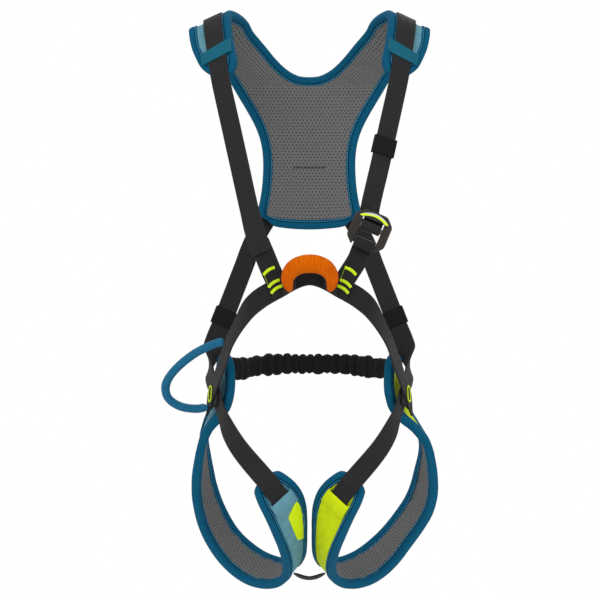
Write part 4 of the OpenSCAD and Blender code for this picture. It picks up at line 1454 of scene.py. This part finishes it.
class HARNESS_OT_gear_loop(bpy.types.Operator):
    """The gear loop: a woven tube from the hip webbing"""

    bl_idname = "harness.gear_loop"
    bl_label = "Gear loop"

    def execute(self, context):
        rings = strap_sections("gear_loop_core", 10)
        path = smooth_rows(rings.mean(1), 5)
        at = length_along(path)
        bend = 9 * MM  # the length at the lower end that turns in at the hip
        sewn = np.clip(1 - (at[-1] - at) / bend, 0, 1)
        path = path + (sewn**2)[:, None] * np.array([3.2, 0.6, -1.6]) * MM
        along = unit(np.gradient(path, axis=0))
        radius = 4.5 * MM
        tip = 3.6 * MM  # how far each rounded end stands past the core
        path = np.concatenate([path[:1] - along[:1] * tip, path, path[-1:] + along[-1:] * tip])
        rounding = np.array([[0], [0.25], [0.6]])
        start = path[0] + (path[1] - path[0]) * rounding
        end = path[-1] - (path[-1] - path[-2]) * rounding[::-1]
        path = np.concatenate([start, path[1:-1], end])
        # The upper end is rounded off and the lower end tapers
        size = np.ones(len(path))
        size[:3] = (0.35, 0.8, 0.97)
        size[-8:] = np.linspace(1, 0.45, 8)
        along = unit(np.gradient(path, axis=0))
        up = np.array([0.2, -0.3, 1.0])
        side = unit(np.cross(along, up))
        other = np.cross(side, along)
        angle = np.linspace(0, 2 * math.pi, 25)
        flattened = 0.94
        wide, high = np.cos(angle)[:, None], np.sin(angle)[:, None]
        ring = side[:, None] * wide + other[:, None] * high * flattened
        rows = path[:, None] + ring * (radius * size)[:, None, None]
        obj = tube("gear_loop_tube", rows, grid_uv(angle * radius, length_along(path)))
        finish(obj, materials["loop"], "gear_loop", ["gear_loop_sleeve", "gear_loop_core"], 60)
        return {"FINISHED"}


class HARNESS_OT_elastic(bpy.types.Operator):
    """The gathered elastic behind the waist"""

    bl_idname = "harness.elastic"
    bl_label = "Waist elastic"

    def execute(self, context):
        settings = context.scene.harness_soft
        middle, side, facing, _ = strap_frames("waist_elastic_core")
        middle, side, facing = (smooth_rows(rows, 14) for rows in (middle, side, facing))
        side, facing = unit(side), unit(facing)
        at = length_along(middle)
        # The creases between the gathers are uneven, and each runs a little askew from top to foot
        rng = np.random.default_rng(7)
        count = settings.ruffles
        top = np.cumsum(rng.uniform(0.65, 1.35, count))
        top = np.concatenate([[0], top / top[-1] * at[-1]])
        foot = top + np.concatenate([[0], rng.uniform(-0.2, 0.2, count - 1) * at[-1] / count, [0]])
        size = rng.uniform(0.75, 1.3, (2, count))
        angle = np.linspace(0, 2 * math.pi, 41)
        tall, deep = 10.0 * MM, 4.8 * MM  # half its height and half its depth
        rise, reach = (np.sign(way) * np.abs(way) ** 0.8 for way in (np.sin(angle), np.cos(angle)))
        rows = np.empty((len(at), len(angle), 3))
        for k in range(len(angle)):
            high = 0.5 + 0.5 * math.sin(angle[k])
            creases = high * top + (1 - high) * foot
            index = np.clip(np.searchsorted(creases, at, side="right") - 1, 0, count - 1)
            share = np.clip((at - creases[index]) / (creases[index + 1] - creases[index]), 0, 1)
            width = np.clip(np.diff(creases) * count / at[-1], 0.6, 1.2)
            tallness = (high * size[0] + (1 - high) * size[1]) * width
            lobe = np.sin(math.pi * share) ** 0.55 * tallness[index]
            turn = 2 * math.pi * at / (3.6 * MM) + 1.6 * np.sin(at / (6 * MM)) + 1.3 * math.sin(2 * angle[k])
            pleats = 0.35 * MM * np.sin(turn) * (0.35 + 0.65 * abs(math.cos(angle[k])))
            grow = settings.ruffle * (lobe - 0.8) + pleats
            up, out = (tall + grow) * rise[k], (deep + grow * 0.8) * reach[k]
            rows[:, k] = middle + side * up[:, None] + facing * out[:, None]
        obj = tube("waist_elastic", rows, grid_uv(angle * 8 * MM, at))
        nodes = ["waist_elastic_cover", "waist_elastic_core"]
        finish(obj, materials["elastic"], "leg_loops", nodes, 60)
        return {"FINISHED"}


class HARNESS_OT_stage(bpy.types.Operator):
    """Pale floor, soft studio light and the camera at the photo's angle"""

    bl_idname = "harness.stage"
    bl_label = "Stage"

    def execute(self, context):
        scene = context.scene
        bpy.ops.mesh.primitive_plane_add(size=1.3, location=(0, 0.05, -0.40))
        floor = context.object
        floor.name = "floor"
        material, tree, shader = new_material("Studio floor, matt white", Roughness=0.9)
        place = own_place(tree)
        grain = speckle(tree, place, 30.0)
        surface(tree, shader, two_colours(tree, grain, "#f6f6f6", "#fbfbfb"), grain, 0.01)
        floor.data.materials.append(material)
        floor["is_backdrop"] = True
        for name, place, aim, size, power in (
            ("key", (-1.1, -1.9, 1.5), (0, 0.06, 0), 1.6, 26),
            ("fill", (1.5, -1.7, 0.6), (0, 0.06, -0.05), 1.6, 12),
            ("back", (0.3, 1.9, 1.6), (0, 0.06, 0.05), 1.4, 16),
        ):
            bpy.ops.object.light_add(type="AREA", location=place)
            lamp = context.object
            lamp.name = name
            lamp.data.size = size
            lamp.data.energy = power
            lamp.rotation_euler = (Vector(aim) - Vector(place)).to_track_quat("-Z", "Y").to_euler()
            lamp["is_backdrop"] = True
        world = bpy.data.worlds.new("Studio")
        world.use_nodes = True
        scene.world = world
        tree = world.node_tree
        tree.nodes.clear()
        path = add(tree, "ShaderNodeLightPath")
        bounced = mixed(tree, "MAXIMUM", path.outputs["Is Glossy Ray"], path.outputs["Is Transmission Ray"])
        seen = mixed(tree, "MAXIMUM", path.outputs["Is Camera Ray"], bounced)
        soft, white = (
            add(tree, "ShaderNodeBackground", {"Color": (1, 1, 1, 1), "Strength": strength}).outputs[0]
            for strength in (0.62, 1.0)
        )
        either = add(tree, "ShaderNodeMixShader", links={0: seen, 1: soft, 2: white})
        add(tree, "ShaderNodeOutputWorld", links={0: either.outputs[0]})
        bpy.ops.object.camera_add(location=CAMERA_AT, rotation=CAMERA_TURN)
        camera = context.object
        camera.name = "camera"
        camera.data.sensor_fit = "AUTO"
        camera.data.sensor_width = SENSOR
        camera.data.lens = LENS
        camera.data.shift_x, camera.data.shift_y = SHIFT
        scene.camera = camera
        camera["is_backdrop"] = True
        scene.view_settings.view_transform = "Standard"
        return {"FINISHED"}


class HARNESS_PT_panel(bpy.types.Panel):
    """The harness's settings and pieces"""

    bl_idname = "HARNESS_PT_panel"
    bl_label = "Climbing harness"
    bl_space_type = "VIEW_3D"
    bl_region_type = "UI"
    bl_category = "Harness"

    def draw(self, context):
        """Lists the settings and a button for each piece."""
        for title, group in (
            ("Webbing", context.scene.harness_webbing),
            ("Padding", context.scene.harness_padding),
            ("Gathers", context.scene.harness_soft),
        ):
            self.layout.label(text=title)
            for name in group.__annotations__:
                self.layout.prop(group, name)
        for operator in OPERATORS:
            self.layout.operator(operator.bl_idname)


SETTINGS = (WebbingSettings, PaddingSettings, SoftSettings)
OPERATORS = (
    HARNESS_OT_yoke,
    HARNESS_OT_leg_loops,
    HARNESS_OT_straps,
    HARNESS_OT_buckle,
    HARNESS_OT_keepers,
    HARNESS_OT_tie_in,
    HARNESS_OT_gear_loop,
    HARNESS_OT_elastic,
    HARNESS_OT_stage,
)


def register():
    """Makes the settings, operators and panel known."""
    for made in SETTINGS + OPERATORS + (HARNESS_PT_panel,):
        bpy.utils.register_class(made)
    bpy.types.Scene.harness_webbing = PointerProperty(type=WebbingSettings)
    bpy.types.Scene.harness_padding = PointerProperty(type=PaddingSettings)
    bpy.types.Scene.harness_soft = PointerProperty(type=SoftSettings)


def unregister():
    """Takes them away again."""
    for name in ("harness_webbing", "harness_padding", "harness_soft"):
        delattr(bpy.types.Scene, name)
    for made in reversed(SETTINGS + OPERATORS + (HARNESS_PT_panel,)):
        bpy.utils.unregister_class(made)


# ---------- what shows in the picture ----------


def showing():
    """For each shown piece, the picture points at which it is seen; and where all vertices would show."""
    points, faces, owners = [], [], []
    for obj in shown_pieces():
        start = len(points)
        points += [v.co.copy() for v in obj.data.vertices]
        faces += [[start + i for i in face.vertices] for face in obj.data.polygons]
        owners += [obj.name] * len(obj.data.polygons)
    tree = BVHTree.FromPolygons(points, faces)
    seen = {}
    margin = 12
    columns = range(POINTS["left_end"][0] - margin, POINTS["right_end"][0] + margin)
    for y in range(PICTURE[1]):
        for x in columns:
            _, _, index, _ = tree.ray_cast(CAMERA_AT, ray_through(x + 0.5, y + 0.5))
            if index is not None:
                seen.setdefault(owners[index], []).append((x + 0.5, y + 0.5))
    ends = in_picture([list(p) for p in points])
    return {name: np.array(places) for name, places in seen.items()}, ends


def end_offset(points, axis, sign, point):
    """How far an end shows from its point, measured at the nearest of the outermost places."""
    points = np.array(points, float)
    outermost = (points[:, axis] * sign).max()
    there = points[points[:, axis] * sign > outermost - END_BAND]
    offset = there[np.argmin(np.linalg.norm(there - point, axis=1))] - point
    offset[axis] = outermost * sign - point[axis]
    return [round(float(value), 1) for value in offset]


def point_offsets():
    """How far each named thing shows from its picture point, in x and y."""
    seen, ends = showing()
    pieces = {
        "buckle_frame": "buckle_body",
        "tie_in_sleeve": "tie_in_cover",
        "gear_loop_sleeve": "gear_loop_tube",
        "hip_tack_left": "hip_bar_tack_left",
        "hip_tack_right": "hip_bar_tack_right",
        "waist_elastic_cover": "waist_elastic",
        "leg_patch_left": "patch",
        "keeper_front": "keeper_front_band",
        "keeper_rear_right": "keeper_rear_right_band",
        "crotch_strap": "crotch_tape",
    }
    made = {}
    for name, piece in pieces.items():
        if piece in seen:
            middle = (seen[piece].min(0) + seen[piece].max(0)) / 2
            made[name] = [round(float(middle[i] - POINTS[name][i]), 1) for i in (0, 1)]
    for i, name in enumerate(("left_end", "right_end", "top_end", "bottom_end")):
        made[name] = end_offset(ends, i // 2, (-1, 1)[i % 2], POINTS[name])
    for piece, low, high in (
        ("yoke_slit", "slit_left", "slit_right"),
        ("seam_left", "seam_left_low", "seam_left_high"),
        ("seam_right", "seam_right_high", "seam_right_low"),
    ):
        if piece in seen:
            made[low] = end_offset(seen[piece], 0, -1, POINTS[low])
            made[high] = end_offset(seen[piece], 0, 1, POINTS[high])
    return made


def main():
    """Makes every piece and the stage."""
    register()
    make_materials()
    for operator in OPERATORS:
        group, name = operator.bl_idname.split(".")
        getattr(getattr(bpy.ops, group), name)()
    bpy.context.view_layer.update()
    point_offsets()


if __name__ == "__main__":
    main()
